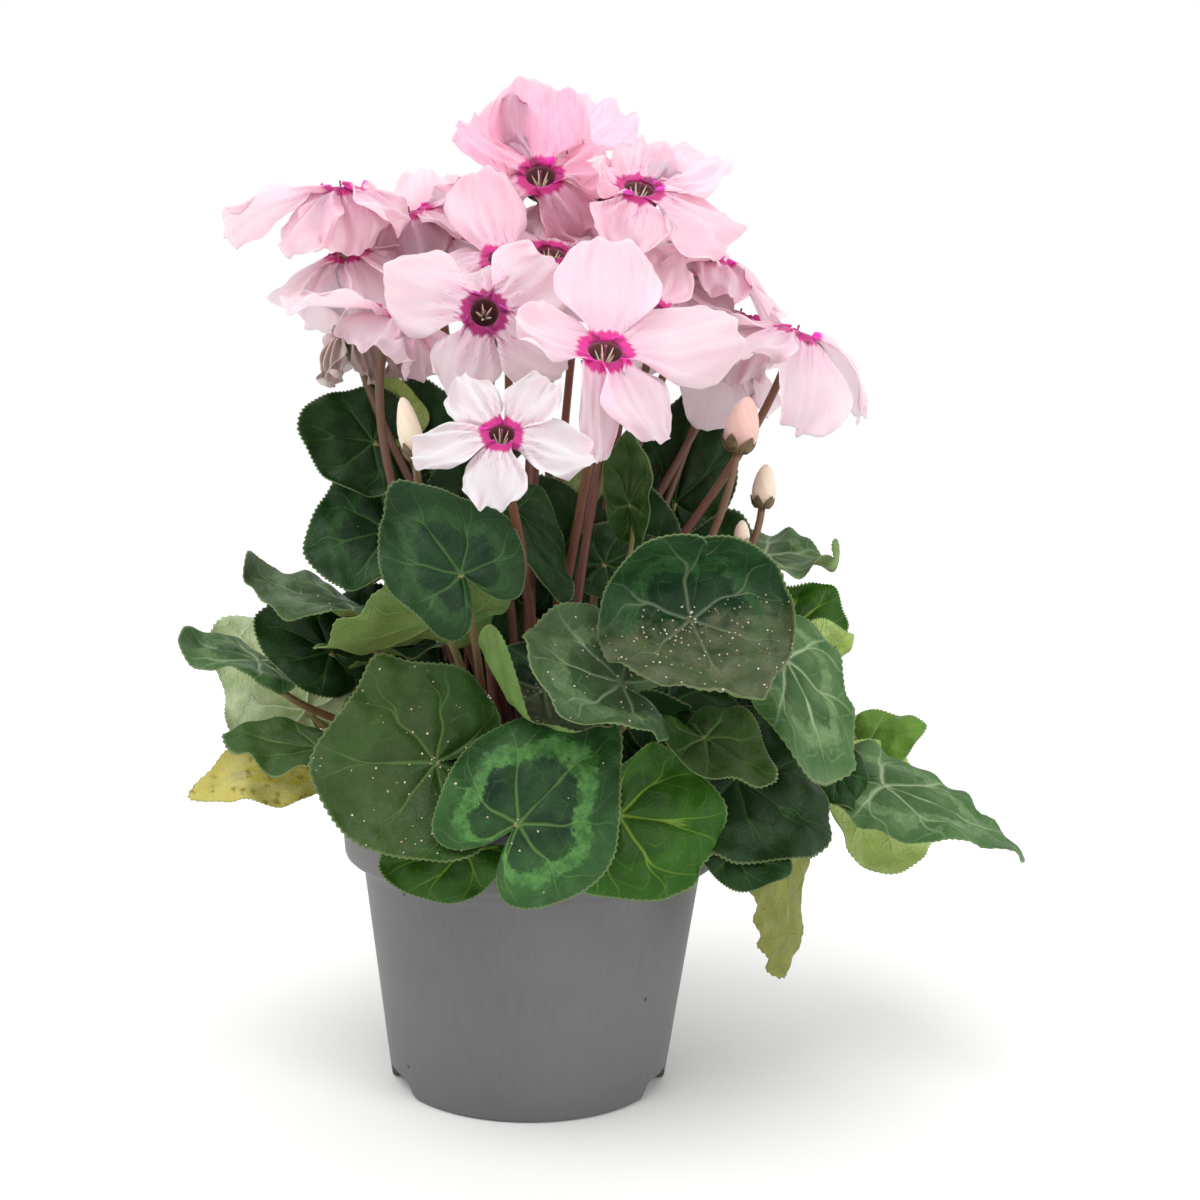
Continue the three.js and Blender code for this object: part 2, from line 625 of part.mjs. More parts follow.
// A stalk leaves the tuber square to its skin and arrives along the way that its head looks. bow
// pushes its middle aside where it would otherwise run through another stalk.
function stalkCurve(root, end, arrival, bow = [0, 0, 0]) {
  const length = root.spot.distanceTo(end);
  return new THREE.CubicBezierCurve3(
    root.spot,
    root.spot.clone().addScaledVector(root.normal, length * 0.35).add(point(bow)),
    end.clone().addScaledVector(arrival, -length * 0.3).add(point(bow)),
    end,
  );
}

// A leaf stalk comes up from under the blade, on the side of the lobes.
function leafSolids() {
  const ends = leaves.map((leaf) => point(leaf.at));
  const roots = rootsOnTuber(ends, [21.5, 17]);
  return leaves.map((leaf, i) => {
    const midrib = point(leaf.tip).sub(ends[i]).normalize();
    const face = point(leaf.face).normalize();
    const arrival = face.clone().multiplyScalar(0.6).addScaledVector(midrib, 0.6);
    arrival.z += 0.5;
    const end = ends[i].clone().addScaledVector(face, -0.2);
    const curve = stalkCurve(roots[i], end, arrival.normalize(), leaf.bow);
    const stalk = stalkSolid(curve, STALK.leafRadius);
    const solid = bladeSolid(leaf).add(stalk);
    return { name: leaf.name, solid, finish: FINISH.leaf, colour: leaf.colour };
  });
}

function flowerSolids() {
  const heads = [
    ...flowers.map((flower) => ({
      name: flower.name,
      finish: FINISH.flower,
      colour: flower.colour,
      body: flowerHead(flower),
      arrival: point(flower.faces).normalize(),
      end: point(flower.mouth).addScaledVector(point(flower.faces).normalize(), -8),
      bow: flower.bow,
    })),
    ...buds.map((bud) => ({
      name: bud.name,
      finish: FINISH.bud,
      body: budBody(bud),
      arrival: point(bud.tip).sub(point(bud.at)).normalize(),
      end: point(bud.at),
      bow: bud.bow,
    })),
  ];
  const roots = rootsOnTuber(heads.map((head) => head.end), [12, 6.5]);
  return heads.map((head, i) => {
    const curve = stalkCurve(roots[i], head.end, head.arrival, head.bow);
    const stalk = stalkSolid(curve, STALK.flowerRadius);
    const solid = head.body.add(stalk);
    return { name: head.name, solid, finish: head.finish, colour: head.colour };
  });
}

// ---------------------------------------------------------------- the plant in its pot
const group = new THREE.Group();
const pieces = [
  { name: "pot", solid: makePot(), finish: FINISH.pot },
  { name: "potting_soil", solid: makeSoil(), finish: FINISH.soil },
  { name: "tuber", solid: tuberSolid(0), finish: FINISH.tuber },
  ...leafSolids(),
  ...flowerSolids(),
];
for (const { name, solid, finish, colour } of pieces) {
  const material = new THREE.MeshStandardMaterial({ ...finish, metalness: 0 });
  if (colour !== undefined) material.color.set(colour);
  const mesh = new THREE.Mesh(geometryOf(solid), material);
  mesh.name = name;
  group.add(mesh);
}

export default group;
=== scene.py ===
# %% [markdown]
# # A cyclamen in flower, in its nursery pot
#
# A florist's cyclamen is a rosette. Every leaf and every flower stands on its own stalk, and all
# the stalks grow from one flat tuber that sits half out of the soil. This lesson loads the plain
# CAD solids as a frame and grows a detailed plant round them: each leaf, flower and bud gets the
# place of its solid and takes over from it.
#
# Lengths in the tables are millimetres, because that is how a grower's rule reads. They turn into
# Blender's metres only when the points go into a mesh.

# %% The frame
import json
import math
import random
from functools import partial

import bpy
import numpy as np
from mathutils import Matrix, Vector

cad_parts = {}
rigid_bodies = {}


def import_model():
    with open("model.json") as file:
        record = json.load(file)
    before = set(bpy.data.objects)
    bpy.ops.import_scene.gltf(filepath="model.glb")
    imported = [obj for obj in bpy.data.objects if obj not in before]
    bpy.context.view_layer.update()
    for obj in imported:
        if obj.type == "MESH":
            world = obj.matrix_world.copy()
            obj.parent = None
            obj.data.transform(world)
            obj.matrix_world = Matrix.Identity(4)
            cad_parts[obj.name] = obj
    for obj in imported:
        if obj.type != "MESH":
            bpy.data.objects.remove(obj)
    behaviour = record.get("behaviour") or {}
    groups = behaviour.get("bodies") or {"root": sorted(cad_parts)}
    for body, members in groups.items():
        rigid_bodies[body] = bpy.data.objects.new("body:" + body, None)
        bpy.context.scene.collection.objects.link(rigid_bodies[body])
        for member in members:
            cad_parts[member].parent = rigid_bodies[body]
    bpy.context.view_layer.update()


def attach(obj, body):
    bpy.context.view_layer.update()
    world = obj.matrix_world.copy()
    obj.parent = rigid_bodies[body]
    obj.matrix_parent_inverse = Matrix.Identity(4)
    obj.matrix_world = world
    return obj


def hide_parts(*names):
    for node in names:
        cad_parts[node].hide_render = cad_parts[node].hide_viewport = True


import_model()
MM = 0.001

# %% [markdown]
# ## The camera
#
# The picture was taken from a little above the rim of the pot, about half a metre away. The
# ellipses of the pot's rim and base give that height, distance and tilt, so the camera is placed
# by them. A camera looks along its own -Z with +Y up, so its matrix is written from the three
# directions in which it looks, climbs and reaches sideways.

# %% The camera
EYE = Vector((0, -0.450, 0.176))
PITCH = math.radians(3.43)
YAW = math.radians(2.44)
ROLL = math.radians(1.32)

ahead = Vector((math.sin(YAW) * math.cos(PITCH), math.cos(YAW) * math.cos(PITCH), -math.sin(PITCH)))
level = Vector((math.cos(YAW), -math.sin(YAW), 0))
climb = level.cross(ahead)
camera_x = level * math.cos(ROLL) + climb * math.sin(ROLL)
camera_y = climb * math.cos(ROLL) - level * math.sin(ROLL)

bpy.ops.object.camera_add()
camera = bpy.context.object
camera.name = "camera"
turned = Matrix((camera_x, camera_y, -ahead)).transposed().to_4x4()
camera.matrix_world = Matrix.Translation(EYE) @ turned
camera.data.sensor_width = 36
camera.data.lens = 43.35
bpy.context.scene.camera = camera
print("camera at", tuple(round(c, 3) for c in camera.location))

# %% [markdown]
# ## Small helpers
#
# Colours are picked as sRGB hex values, as a paint program shows them, and the shader wants linear
# light, so one function turns them. One more function adds a shader node with its settings and its
# links, and gives back its output, which keeps each material readable from top to bottom. Each
# material fills in that function's first argument, itself, once and for all with partial.

# %% Colours, materials and nodes
def linear(hex_colour):
    """An sRGB hex colour as linear RGBA."""
    parts = [int(hex_colour[i : i + 2], 16) / 255 for i in (1, 3, 5)]
    return [c / 12.92 if c <= 0.04045 else ((c + 0.055) / 1.055) ** 2.4 for c in parts] + [1]


def new_material(name, **values):
    """A material whose Principled shader has these values; an underscore stands for a space."""
    material = bpy.data.materials.new(name)
    material.use_nodes = True
    shader = material.node_tree.nodes["Principled BSDF"]
    for socket, value in values.items():
        shader.inputs[socket.replace("_", " ")].default_value = value
    return material


def add_node(owner, kind, inputs=None, out=0, **settings):
    """Adds a shader node to a material or a world, and gives back one of its outputs, or all of
    them where out is None. Each input is a value, or the output of another node to link from."""
    tree = owner.node_tree
    node = tree.nodes.new("ShaderNode" + kind)
    for name, value in settings.items():
        setattr(node, name, value)
    for socket, value in (inputs or {}).items():
        if isinstance(value, bpy.types.NodeSocket):
            tree.links.new(value, node.inputs[socket])
        else:
            node.inputs[socket].default_value = value
    return node.outputs if out is None else node.outputs[out]


# A Mix node that blends colours takes them at inputs 6 and 7, and gives the blend at output 2.
COLOUR = {"data_type": "RGBA", "out": 2}
# A Map Range node with this setting has soft ends.
SOFT = {"interpolation_type": "SMOOTHSTEP"}


def finish_material(material, **links):
    """Links outputs to the Principled shader's sockets."""
    shader = material.node_tree.nodes["Principled BSDF"]
    for socket, output in links.items():
        material.node_tree.links.new(output, shader.inputs[socket.replace("_", " ")])
    print("material", material.name, len(material.node_tree.nodes), "nodes")
    return material

# %% [markdown]
# Operators act on everything that is selected, and the loaded frame comes in selected. So every
# piece is taken up with the same two steps: drop the selection, then select this one piece. The
# points of a mesh are read and written as one array, which is quick even for a whole plant.

# %% Picking up a piece and moving its points
def take_up_nothing():
    """Drops the selection, before a primitive is added."""
    for other in bpy.context.selected_objects:
        other.select_set(False)


def take_up(piece):
    """Makes the piece the only one selected, and the active one."""
    take_up_nothing()
    piece.select_set(True)
    bpy.context.view_layer.objects.active = piece


def points_of(piece):
    """The piece's points as an array of rows."""
    flat = np.empty(len(piece.data.vertices) * 3)
    piece.data.vertices.foreach_get("co", flat)
    return flat.reshape(-1, 3)


def set_points(piece, points):
    """Moves the piece's points, whose count stays the same."""
    piece.data.vertices.foreach_set("co", np.asarray(points, float).ravel())
    piece.data.update()

# %% [markdown]
# ## The floor and the light
#
# The plant stands on a matt white floor. It is only a stage, not a part of the plant. A disc 24
# metres wide shows no edge in the picture, and needs no modelling.

# %% The floor
FLOOR_PAINT = new_material("matt_white_floor_paint", Base_Color=linear("#f4f4f2"), Roughness=0.9)
add = partial(add_node, FLOOR_PAINT)
grain = add("TexNoise", {"Scale": 300.0})
tone = add("Mix", {0: grain, 6: linear("#f2f2f0"), 7: linear("#f7f7f5")}, **COLOUR)
finish_material(FLOOR_PAINT, Base_Color=tone)

take_up_nothing()
bpy.ops.mesh.primitive_circle_add(vertices=96, radius=12, fill_type="NGON", location=(0, 0, -0.0002))
floor = bpy.context.object
floor.name = "studio_floor"
floor.data.materials.append(FLOOR_PAINT)
print("floor:", round(floor.dimensions.x), "m across")

# %% [markdown]
# The studio is bright and white. An even white surround fills the shadows, and the camera sees it a
# shade brighter than it shines, as a lit backdrop. A very soft sun stands for a wall of softboxes
# above and to the left: unlike a near lamp, it lights the far floor as much as the near one. A faint
# lamp from the right lifts that side.

# %% The light
world = bpy.data.worlds.new("white_studio")
world.use_nodes = True
to_camera = add_node(world, "LightPath", out="Is Camera Ray")
shine = add_node(world, "MapRange", {"Value": to_camera, "To Min": 0.94})
backdrop = world.node_tree.nodes["Background"]
backdrop.inputs["Color"].default_value = (1, 1, 1, 1)
world.node_tree.links.new(shine, backdrop.inputs["Strength"])
bpy.context.scene.world = world
bpy.context.scene.view_settings.view_transform = "Standard"

PLANT_MIDDLE = Vector((0, 0, 0.16))
bpy.ops.object.light_add(type="AREA", location=(1.1, -0.9, 0.6))
lamp = bpy.context.object
lamp.name = "lamp_right"
lamp.data.size = 0.7
lamp.data.energy = 5
lamp.rotation_euler = (PLANT_MIDDLE - lamp.location).to_track_quat("-Z", "Y").to_euler()

SUNBEAM = Vector((0.35, 0.5, -1))
bpy.ops.object.light_add(type="SUN", location=(-0.5, -0.8, 2))
sun = bpy.context.object
sun.name = "softbox_wall"
sun.data.energy = 1.3
sun.data.angle = math.radians(40)
sun.rotation_euler = SUNBEAM.to_track_quat("-Z", "Y").to_euler()
print("2 lamps and a white surround")

# %% [markdown]
# ## The pot
#
# A nursery pot is injection moulded from grey polypropylene: a thin tapered wall that steps out
# into a rim band, a foot ring with three drainage notches, and a floor with drain holes. On a lathe
# one outline would give all that is round, so the pot's section is drawn as a closed loop and spun.

# %% The pot's section, spun
def lathe(name, profile, steps):
    """A round body about Z from a profile of (radius, height) points in mm, spun in edit mode."""
    take_up_nothing()
    bpy.ops.mesh.primitive_circle_add(vertices=len(profile), radius=1, fill_type="NOTHING")
    piece = bpy.context.object
    piece.name = name
    set_points(piece, [(radius * MM, 0, height * MM) for radius, height in profile])
    bpy.ops.object.mode_set(mode="EDIT")
    bpy.ops.mesh.select_all(action="SELECT")
    bpy.ops.mesh.spin(steps=steps, angle=2 * math.pi, center=(0, 0, 0), axis=(0, 0, 1))
    bpy.ops.mesh.select_all(action="SELECT")
    bpy.ops.mesh.remove_doubles(threshold=1e-6)
    bpy.ops.mesh.normals_make_consistent(inside=False)
    bpy.ops.object.mode_set(mode="OBJECT")
    return piece


pot_section = [
    (0, 0.3), (11.4, 0.3), (12, 0.6), (14, 3), (36.9, 3), (37.4, 2.8), (38.6, 0.3), (39, 0),
    (42, 0), (42.7, 0.5), (43.2, 1.5), (44.9, 13), (46.6, 25), (48.5, 38), (50.4, 51),
    (52.3, 64), (52.9, 66.2), (53.8, 67.2), (56.9, 69.1), (57.9, 70), (58.4, 71.2), (58.8, 75),
    (59.3, 80), (59.9, 85.9), (60, 87.2), (59.7, 87.8), (59.2, 88), (58.6, 87.9), (58.3, 87.5),
    (57.6, 80), (56.9, 72.8), (56.4, 71), (55.4, 70), (52.6, 68.6), (51.7, 67.7), (51.3, 66),
    (46.9, 35), (42.8, 6.2), (42.4, 4.8), (41.6, 4.3), (15, 4.3), (13.4, 1.8), (12.6, 1.6), (0, 1.6),
]
pot = lathe("grey_nursery_pot", pot_section, 160)
print("pot:", len(pot.data.polygons), "faces")

# %% [markdown]
# Water has to run off at the foot: the mould leaves three notches in the foot ring, and holes in
# the floor. Faces could be deleted by hand, but that leaves a paper-thin edge. Plain bodies, like
# the mould's own cores, are cut out of the wall with a Boolean modifier instead.

# %% Cutting the notches and the drain holes
def apply_modifiers(piece):
    """Applies the piece's modifiers in their order."""
    take_up(piece)
    for modifier in list(piece.modifiers):
        bpy.ops.object.modifier_apply(modifier=modifier.name)


def cut(piece, cutter):
    """Takes one body out of another, and removes the cutter."""
    difference = piece.modifiers.new("cut", "BOOLEAN")
    difference.operation = "DIFFERENCE"
    difference.solver = "EXACT"
    difference.object = cutter
    apply_modifiers(piece)
    bpy.data.objects.remove(cutter)


NOTCH_OUTLINE = [(-10.5, -1), (10.5, -1), (7.6, 4.1), (6.9, 4.9), (5.4, 5.2), (-5.4, 5.2),
                 (-6.9, 4.9), (-7.6, 4.1)]
NOTCH_BEARINGS = (-25, 90, 205)
NOTCH_START, NOTCH_DEPTH = 36, 9
for bearing in NOTCH_BEARINGS:
    take_up_nothing()
    bpy.ops.mesh.primitive_circle_add(vertices=len(NOTCH_OUTLINE), fill_type="NGON")
    core = bpy.context.object
    set_points(core, [(NOTCH_START * MM, across * MM, up * MM) for across, up in NOTCH_OUTLINE])
    bpy.ops.object.mode_set(mode="EDIT")
    bpy.ops.mesh.select_all(action="SELECT")
    bpy.ops.mesh.extrude_region_move(TRANSFORM_OT_translate={"value": (NOTCH_DEPTH * MM, 0, 0)})
    bpy.ops.mesh.select_all(action="SELECT")
    bpy.ops.mesh.normals_make_consistent(inside=False)
    bpy.ops.object.mode_set(mode="OBJECT")
    core.data.transform(Matrix.Rotation(math.radians(bearing), 4, "Z"))
    cut(pot, core)

DRAIN_HOLES = 6
DRAIN_CIRCLE = 27
DRAIN_RADIUS = 3
FLOOR_MIDDLE = 3.6
for rank in range(DRAIN_HOLES):
    bearing = 2 * math.pi * (rank + 0.5) / DRAIN_HOLES
    take_up_nothing()
    place = Vector((DRAIN_CIRCLE * math.cos(bearing), DRAIN_CIRCLE * math.sin(bearing), FLOOR_MIDDLE))
    bpy.ops.mesh.primitive_cylinder_add(
        vertices=32, radius=DRAIN_RADIUS * MM, depth=2 * DRAIN_RADIUS * MM, location=place * MM
    )
    cut(pot, bpy.context.object)
print("pot after cutting:", len(pot.data.polygons), "faces")

# %% [markdown]
# The plastic is a light-duty recycled polypropylene: matt grey, a little uneven in tone from the
# flow of the melt, with fine upright drag lines from the mould and specks of soil from the
# greenhouse bench. The lines and specks are worked out from Object coordinates, so they sit on the
# wall from any side.

# %% Moulded grey polypropylene
POT_PLASTIC = new_material("moulded_grey_polypropylene", Roughness=0.46, IOR=1.49)
add = partial(add_node, POT_PLASTIC)
spot = add("TexCoord", out="Object")
# Drag lines: squeezed in Z, so that 1 mm of width runs for about 60 mm of height.
drawn = add("Mapping", {"Vector": spot, "Scale": (1000, 1000, 18)})
lines = add("TexNoise", {"Vector": drawn, "Scale": 0.9, "Detail": 3.0})
cloud = add("TexNoise", {"Vector": spot, "Scale": 28.0, "Detail": 3.0})
mixed = add("Math", {0: lines, 1: 0.45, 2: cloud}, operation="MULTIPLY_ADD")
grey = add("MapRange", {"Value": mixed, "From Min": 0.45, "From Max": 1.0})
body = add("Mix", {0: grey, 6: linear("#5c5c5e"), 7: linear("#69696a")}, **COLOUR)
# Painted shade: the wall darkens a little towards the foot.
height = add("SeparateXYZ", {0: spot}, out="Z")
low = add("MapRange", {"Value": height, "From Min": 0.07, "From Max": 0.0, "To Max": 0.35})
body_with_painted_shade = add("Mix", {0: low, 6: body, 7: linear("#545456")}, **COLOUR)
# Soil specks up to 1.5 mm across, one in each fifth cell of a 12 mm pattern.
cells = add("TexVoronoi", {"Vector": spot, "Scale": 85.0}, out=None)
speck = add("MapRange", {"Value": cells["Distance"], "From Min": 0.07, "From Max": 0.05})
dice = add("SeparateColor", {0: cells["Color"]})
rare = add("Math", {0: dice, 1: 0.8}, operation="GREATER_THAN")
dirt = add("Math", {0: speck, 1: rare}, operation="MULTIPLY")
stained = add("Mix", {0: dirt, 6: body_with_painted_shade, 7: linear("#2a2622")}, **COLOUR)
rough = add("MapRange", {"Value": cloud, "To Min": 0.4, "To Max": 0.58})
bump = add("Bump", {"Height": lines, "Strength": 0.25, "Distance": 0.00015})
finish_material(POT_PLASTIC, Base_Color=stained, Roughness=rough, Normal=bump)

# %% [markdown]
# Each finished piece gets its name, hides the CAD nodes it stands for, and rides on the one body.
# Smooth shading suits all that grows. The pot has real edges, so it is smoothed by angle.

# %% Finishing the pot
def finish_piece(piece, name, nodes):
    """Names a piece, hides the CAD nodes that it stands for and ties it to the one body."""
    piece.name = name
    piece.data.name = name
    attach(piece, "root")
    if nodes:
        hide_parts(*nodes)
    take_up(piece)
    bpy.ops.object.shade_smooth()
    return piece


pot.data.materials.append(POT_PLASTIC)
finish_piece(pot, "grey_nursery_pot", ["pot"])
take_up(pot)
bpy.ops.object.shade_smooth_by_angle(angle=math.radians(35))
print("finished", pot.name)

# %% [markdown]
# ## The potting soil
#
# Growers pot cyclamens in a coarse peat mix with bark and a little white perlite. A lathe gives the
# plug of soil that fills the pot, with a hollow for the tuber. Its top is then made uneven by
# soft waves that cross each other, drawn from a fixed seed.

# %% The plug of soil
TUBER = dict(radius=25, half_height=14, middle=73)
ROUGH_ABOVE, ROUGH_FROM, ROUGH_TO = 75.5, 26, 55.8  # where the soil is uneven: height and radii
soil_section = [(0, 4.65), (42.1, 4.65), (51.1, 66), (51.3, 67.6), (55.6, 71.3), (56.4, 75)]
soil_top = [(56.2, 76.4), (50, 76.8), (44, 77.6), (38, 78.2), (33, 78.8), (29, 79), (26.5, 78.4)]
soil_hollow = [(25.2, 76), (25.6, 73), (25.2, 69), (23, 65), (18, 61.4), (12, 59.4), (6, 58.6), (0, 58.4)]
soil = lathe("peat_potting_soil", soil_section + soil_top + soil_hollow, 120)
points = points_of(soil)
radius = np.hypot(points[:, 0], points[:, 1]) / MM
rough_zone = (points[:, 2] > ROUGH_ABOVE * MM) & (radius > ROUGH_FROM) & (radius < ROUGH_TO)
dice = random.Random(11)
waves = [(dice.uniform(0.15, 1.4), dice.uniform(0, 6.28), dice.uniform(0, 6.28)) for _ in range(14)]
x, y = points[:, 0] / MM, points[:, 1] / MM
relief = sum(np.sin(x * k * math.cos(a) + y * k * math.sin(a) + p) * 0.35 / (0.6 + k) for k, a, p in waves)
points[:, 2] += np.where(rough_zone, relief, 0) * MM
set_points(soil, points)
print("soil:", len(soil.data.polygons), "faces")

# %% [markdown]
# Moist peat is nearly black, with lighter shreds of bark. Its colour and its relief come from the
# same noise, so that what stands out is also lighter, as when it dries first.

# %% Moist peat
PEAT = new_material("moist_peat_with_bark", Roughness=0.95, Specular_IOR_Level=0.2)
add = partial(add_node, PEAT)
spot = add("TexCoord", out="Object")
fibre = add("TexNoise", {"Vector": spot, "Scale": 420.0, "Detail": 6.0, "Roughness": 0.7})
clods = add("TexVoronoi", {"Vector": spot, "Scale": 380.0}, out="Distance")
tone = add("MapRange", {"Value": fibre, "From Min": 0.35, "From Max": 0.7})
brown = add("Mix", {0: tone, 6: linear("#1c1310"), 7: linear("#4a3426")}, **COLOUR)
ground = add("Math", {0: clods, 1: fibre}, operation="ADD")
bump = add("Bump", {"Height": ground, "Strength": 0.9, "Distance": 0.001})
finish_material(PEAT, Base_Color=brown, Normal=bump)
soil.data.materials.append(PEAT)
finish_piece(soil, "peat_potting_soil", ["potting_soil"])

# %% [markdown]
# ## The tuber
#
# The tuber is a flattened ball with a corky skin and a knobbly crown from which everything grows.
# Its skin is a Voronoi pattern, whose edges are the cracks between plates of cork.

# %% Corky skin
CORK = new_material("corky_brown_tuber_skin", Roughness=0.85, Specular_IOR_Level=0.3)
add = partial(add_node, CORK)
spot = add("TexCoord", out="Object")
cracks = add("TexVoronoi", {"Vector": spot, "Scale": 260.0}, feature="DISTANCE_TO_EDGE", out="Distance")
scurf = add("TexNoise", {"Vector": spot, "Scale": 150.0, "Detail": 5.0})
flake = add("MapRange", {"Value": cracks, "From Max": 0.12})
skin = add("Mix", {0: scurf, 6: linear("#4a3022"), 7: linear("#8a6448")}, **COLOUR)
lined = add("Mix", {0: flake, 6: linear("#2e1d15"), 7: skin}, **COLOUR)
bump = add("Bump", {"Height": flake, "Strength": 0.7, "Distance": 0.0008})
finish_material(CORK, Base_Color=lined, Normal=bump)

# %% [markdown]
# A lathe would make the tuber too regular, and sculpting it would be wasted, because the leaves hide
# it. A sphere is pressed flat, and a few gentle waves push its skin in and out.

# %% The tuber
take_up_nothing()
bpy.ops.mesh.primitive_uv_sphere_add(segments=72, ring_count=36, radius=1)
tuber = bpy.context.object
ball = points_of(tuber)
bearing = np.arctan2(ball[:, 1], ball[:, 0])
knobs = 1 + 0.012 * np.sin(5 * bearing + 9 * ball[:, 2]) + 0.008 * np.sin(11 * bearing - 17 * ball[:, 2])
size = np.array([TUBER["radius"], TUBER["radius"], TUBER["half_height"]]) * 0.985
set_points(tuber, (ball * size * knobs[:, None] + (0, 0, TUBER["middle"])) * MM)
tuber.data.materials.append(CORK)
finish_piece(tuber, "corky_tuber", ["tuber"])
print("tuber:", len(tuber.data.polygons), "faces")

# %% [markdown]
# ## Stalks
#
# A cyclamen's stalks all rise from the crown of the tuber and lean out to where their leaf or
# flower stands. One straight stalk is modelled: a round section, extruded in steps. Each stalk of
# the plant is that one bent along its own smooth curve, which leaves the tuber square to its skin
# and arrives along the way its head looks.

# %% One straight stalk
STALK_SIDES = 12
STALK_STEPS = 26
take_up_nothing()
bpy.ops.mesh.primitive_circle_add(vertices=STALK_SIDES, radius=1, fill_type="NGON")
straight_stalk = bpy.context.object
straight_stalk.name = "straight_stalk"
bpy.ops.object.mode_set(mode="EDIT")
bpy.ops.mesh.select_all(action="SELECT")
for _ in range(STALK_STEPS):
    bpy.ops.mesh.extrude_region_move(TRANSFORM_OT_translate={"value": (0, 0, 1 / STALK_STEPS)})
bpy.ops.mesh.select_all(action="SELECT")
bpy.ops.mesh.normals_make_consistent(inside=False)
bpy.ops.object.mode_set(mode="OBJECT")
print("stalk:", len(straight_stalk.data.polygons), "faces")

# %% [markdown]
# A Curve modifier could bend each stalk, but it would need a curve object for each of them. A cubic
# Bezier in a few lines of numpy does the same: two of its four points lie on the way out of the
# tuber, and two on the way into the leaf or flower. The rings of the stalk are carried along it
# without a twist, by keeping each ring's side as near as it can be to the side of the one before.

# %% Bending a stalk along its curve
ABOVE_SKIN = 0.35  # from the tuber's skin to the point where a stalk's root is placed


def unit(vector):
    """The same direction, one long."""
    vector = np.asarray(vector, float)
    return vector / np.linalg.norm(vector)


def roots_on_tuber(ends, ring_radii):
    """Where each stalk leaves the tuber: in the order of its head's bearing, set out evenly."""
    bearings = [math.atan2(end[1], end[0]) for end in ends]
    order = sorted(range(len(ends)), key=lambda i: bearings[i])
    step = 2 * math.pi / len(ends)
    drift = sum(bearings[i] - rank * step for rank, i in enumerate(order)) / len(ends)
    roots = {}
    for rank, i in enumerate(order):
        bearing = rank * step + drift
        radius = ring_radii[rank % len(ring_radii)]
        share = radius / TUBER["radius"]
        height = TUBER["middle"] + TUBER["half_height"] * math.sqrt(1 - share * share)
        skin = np.array([radius * math.cos(bearing), radius * math.sin(bearing), height])
        slope = (skin - (0, 0, TUBER["middle"])) / np.array(
            [TUBER["radius"] ** 2, TUBER["radius"] ** 2, TUBER["half_height"] ** 2]
        )
        roots[i] = (skin + unit(slope) * ABOVE_SKIN, unit(slope))
    return roots


def bezier(knots, share):
    """Points along a cubic Bezier curve."""
    rest = 1 - share
    weights = [rest**3, 3 * rest**2 * share, 3 * rest * share**2, share**3]
    return sum(weight[:, None] * np.asarray(knot, float) for weight, knot in zip(weights, knots))


def bent_stalk(straight, root, end, arrival, bow, radii):
    """The straight stalk's points, bent from its root to its end. radii: at the root and the top."""
    spot, normal = root
    end = np.asarray(end, float)
    arrival = unit(arrival)
    length = np.linalg.norm(spot - end)
    knots = [
        spot - normal * 1.2,
        spot + normal * length * 0.35 + bow,
        end - arrival * length * 0.3 + bow,
        end,
    ]
    share = straight[:, 2]
    steps = np.linspace(0, 1, STALK_STEPS + 1)
    curve = bezier(knots, steps)
    tangents = np.gradient(curve, axis=0)
    side = unit(np.cross(tangents[0], (0.31, 0.87, 0.38)))
    sides = []
    for tangent in tangents:
        side = unit(side - unit(tangent) * np.dot(side, unit(tangent)))
        sides.append(side)
    sides = np.array(sides)
    others = np.cross(tangents / np.linalg.norm(tangents, axis=1)[:, None], sides)
    at = np.rint(share * STALK_STEPS).astype(int)
    # A little thicker at the crown, as stalks are where they leave the tuber.
    girth = radii[0] + (radii[1] - radii[0]) * share + 0.5 * np.exp(-share / 0.05)
    across = straight[:, :2] * girth[:, None]
    return curve[at] + sides[at] * across[:, :1] + others[at] * across[:, 1:2]

# %% [markdown]
# The skin of a stalk is smooth and slightly waxy. It is deep wine red at the crown and fades to a
# brownish green under the flower, and more so under a leaf. The share of the way up is kept with
# each point, so that the colour follows the stalk however it bends.

# %% Waxy red-brown stalk skin
def stalk_skin(name, crown, middle, top):
    """The skin of a stalk, in three colours from the crown up."""
    material = new_material(name, Roughness=0.42, Subsurface_Weight=0.08)
    add = partial(add_node, material)
    kept = add("Attribute", attribute_name="stalk", out="Vector")
    up = add("SeparateXYZ", {0: kept})
    spot = add("TexCoord", out="Object")
    streak = add("Mapping", {"Vector": spot, "Scale": (900, 900, 90)})
    mottle = add("TexNoise", {"Vector": streak, "Scale": 1.0})
    lifted = add("Math", {0: mottle, 1: 0.25, 2: up}, operation="MULTIPLY_ADD")
    low = add("MapRange", {"Value": lifted, "From Min": 0.2, "From Max": 0.55})
    high = add("MapRange", {"Value": lifted, "From Min": 0.7, "From Max": 1.1})
    lower = add("Mix", {0: low, 6: linear(crown), 7: linear(middle)}, **COLOUR)
    whole = add("Mix", {0: high, 6: lower, 7: linear(top)}, **COLOUR)
    bump = add("Bump", {"Height": mottle, "Strength": 0.2, "Distance": 0.0002})
    return finish_material(material, Base_Color=whole, Normal=bump)


LEAF_STALK = stalk_skin("waxy_leaf_stalk", "#52221c", "#63402e", "#78753f")
FLOWER_STALK = stalk_skin("waxy_flower_stalk", "#491c19", "#5f382c", "#6a523a")

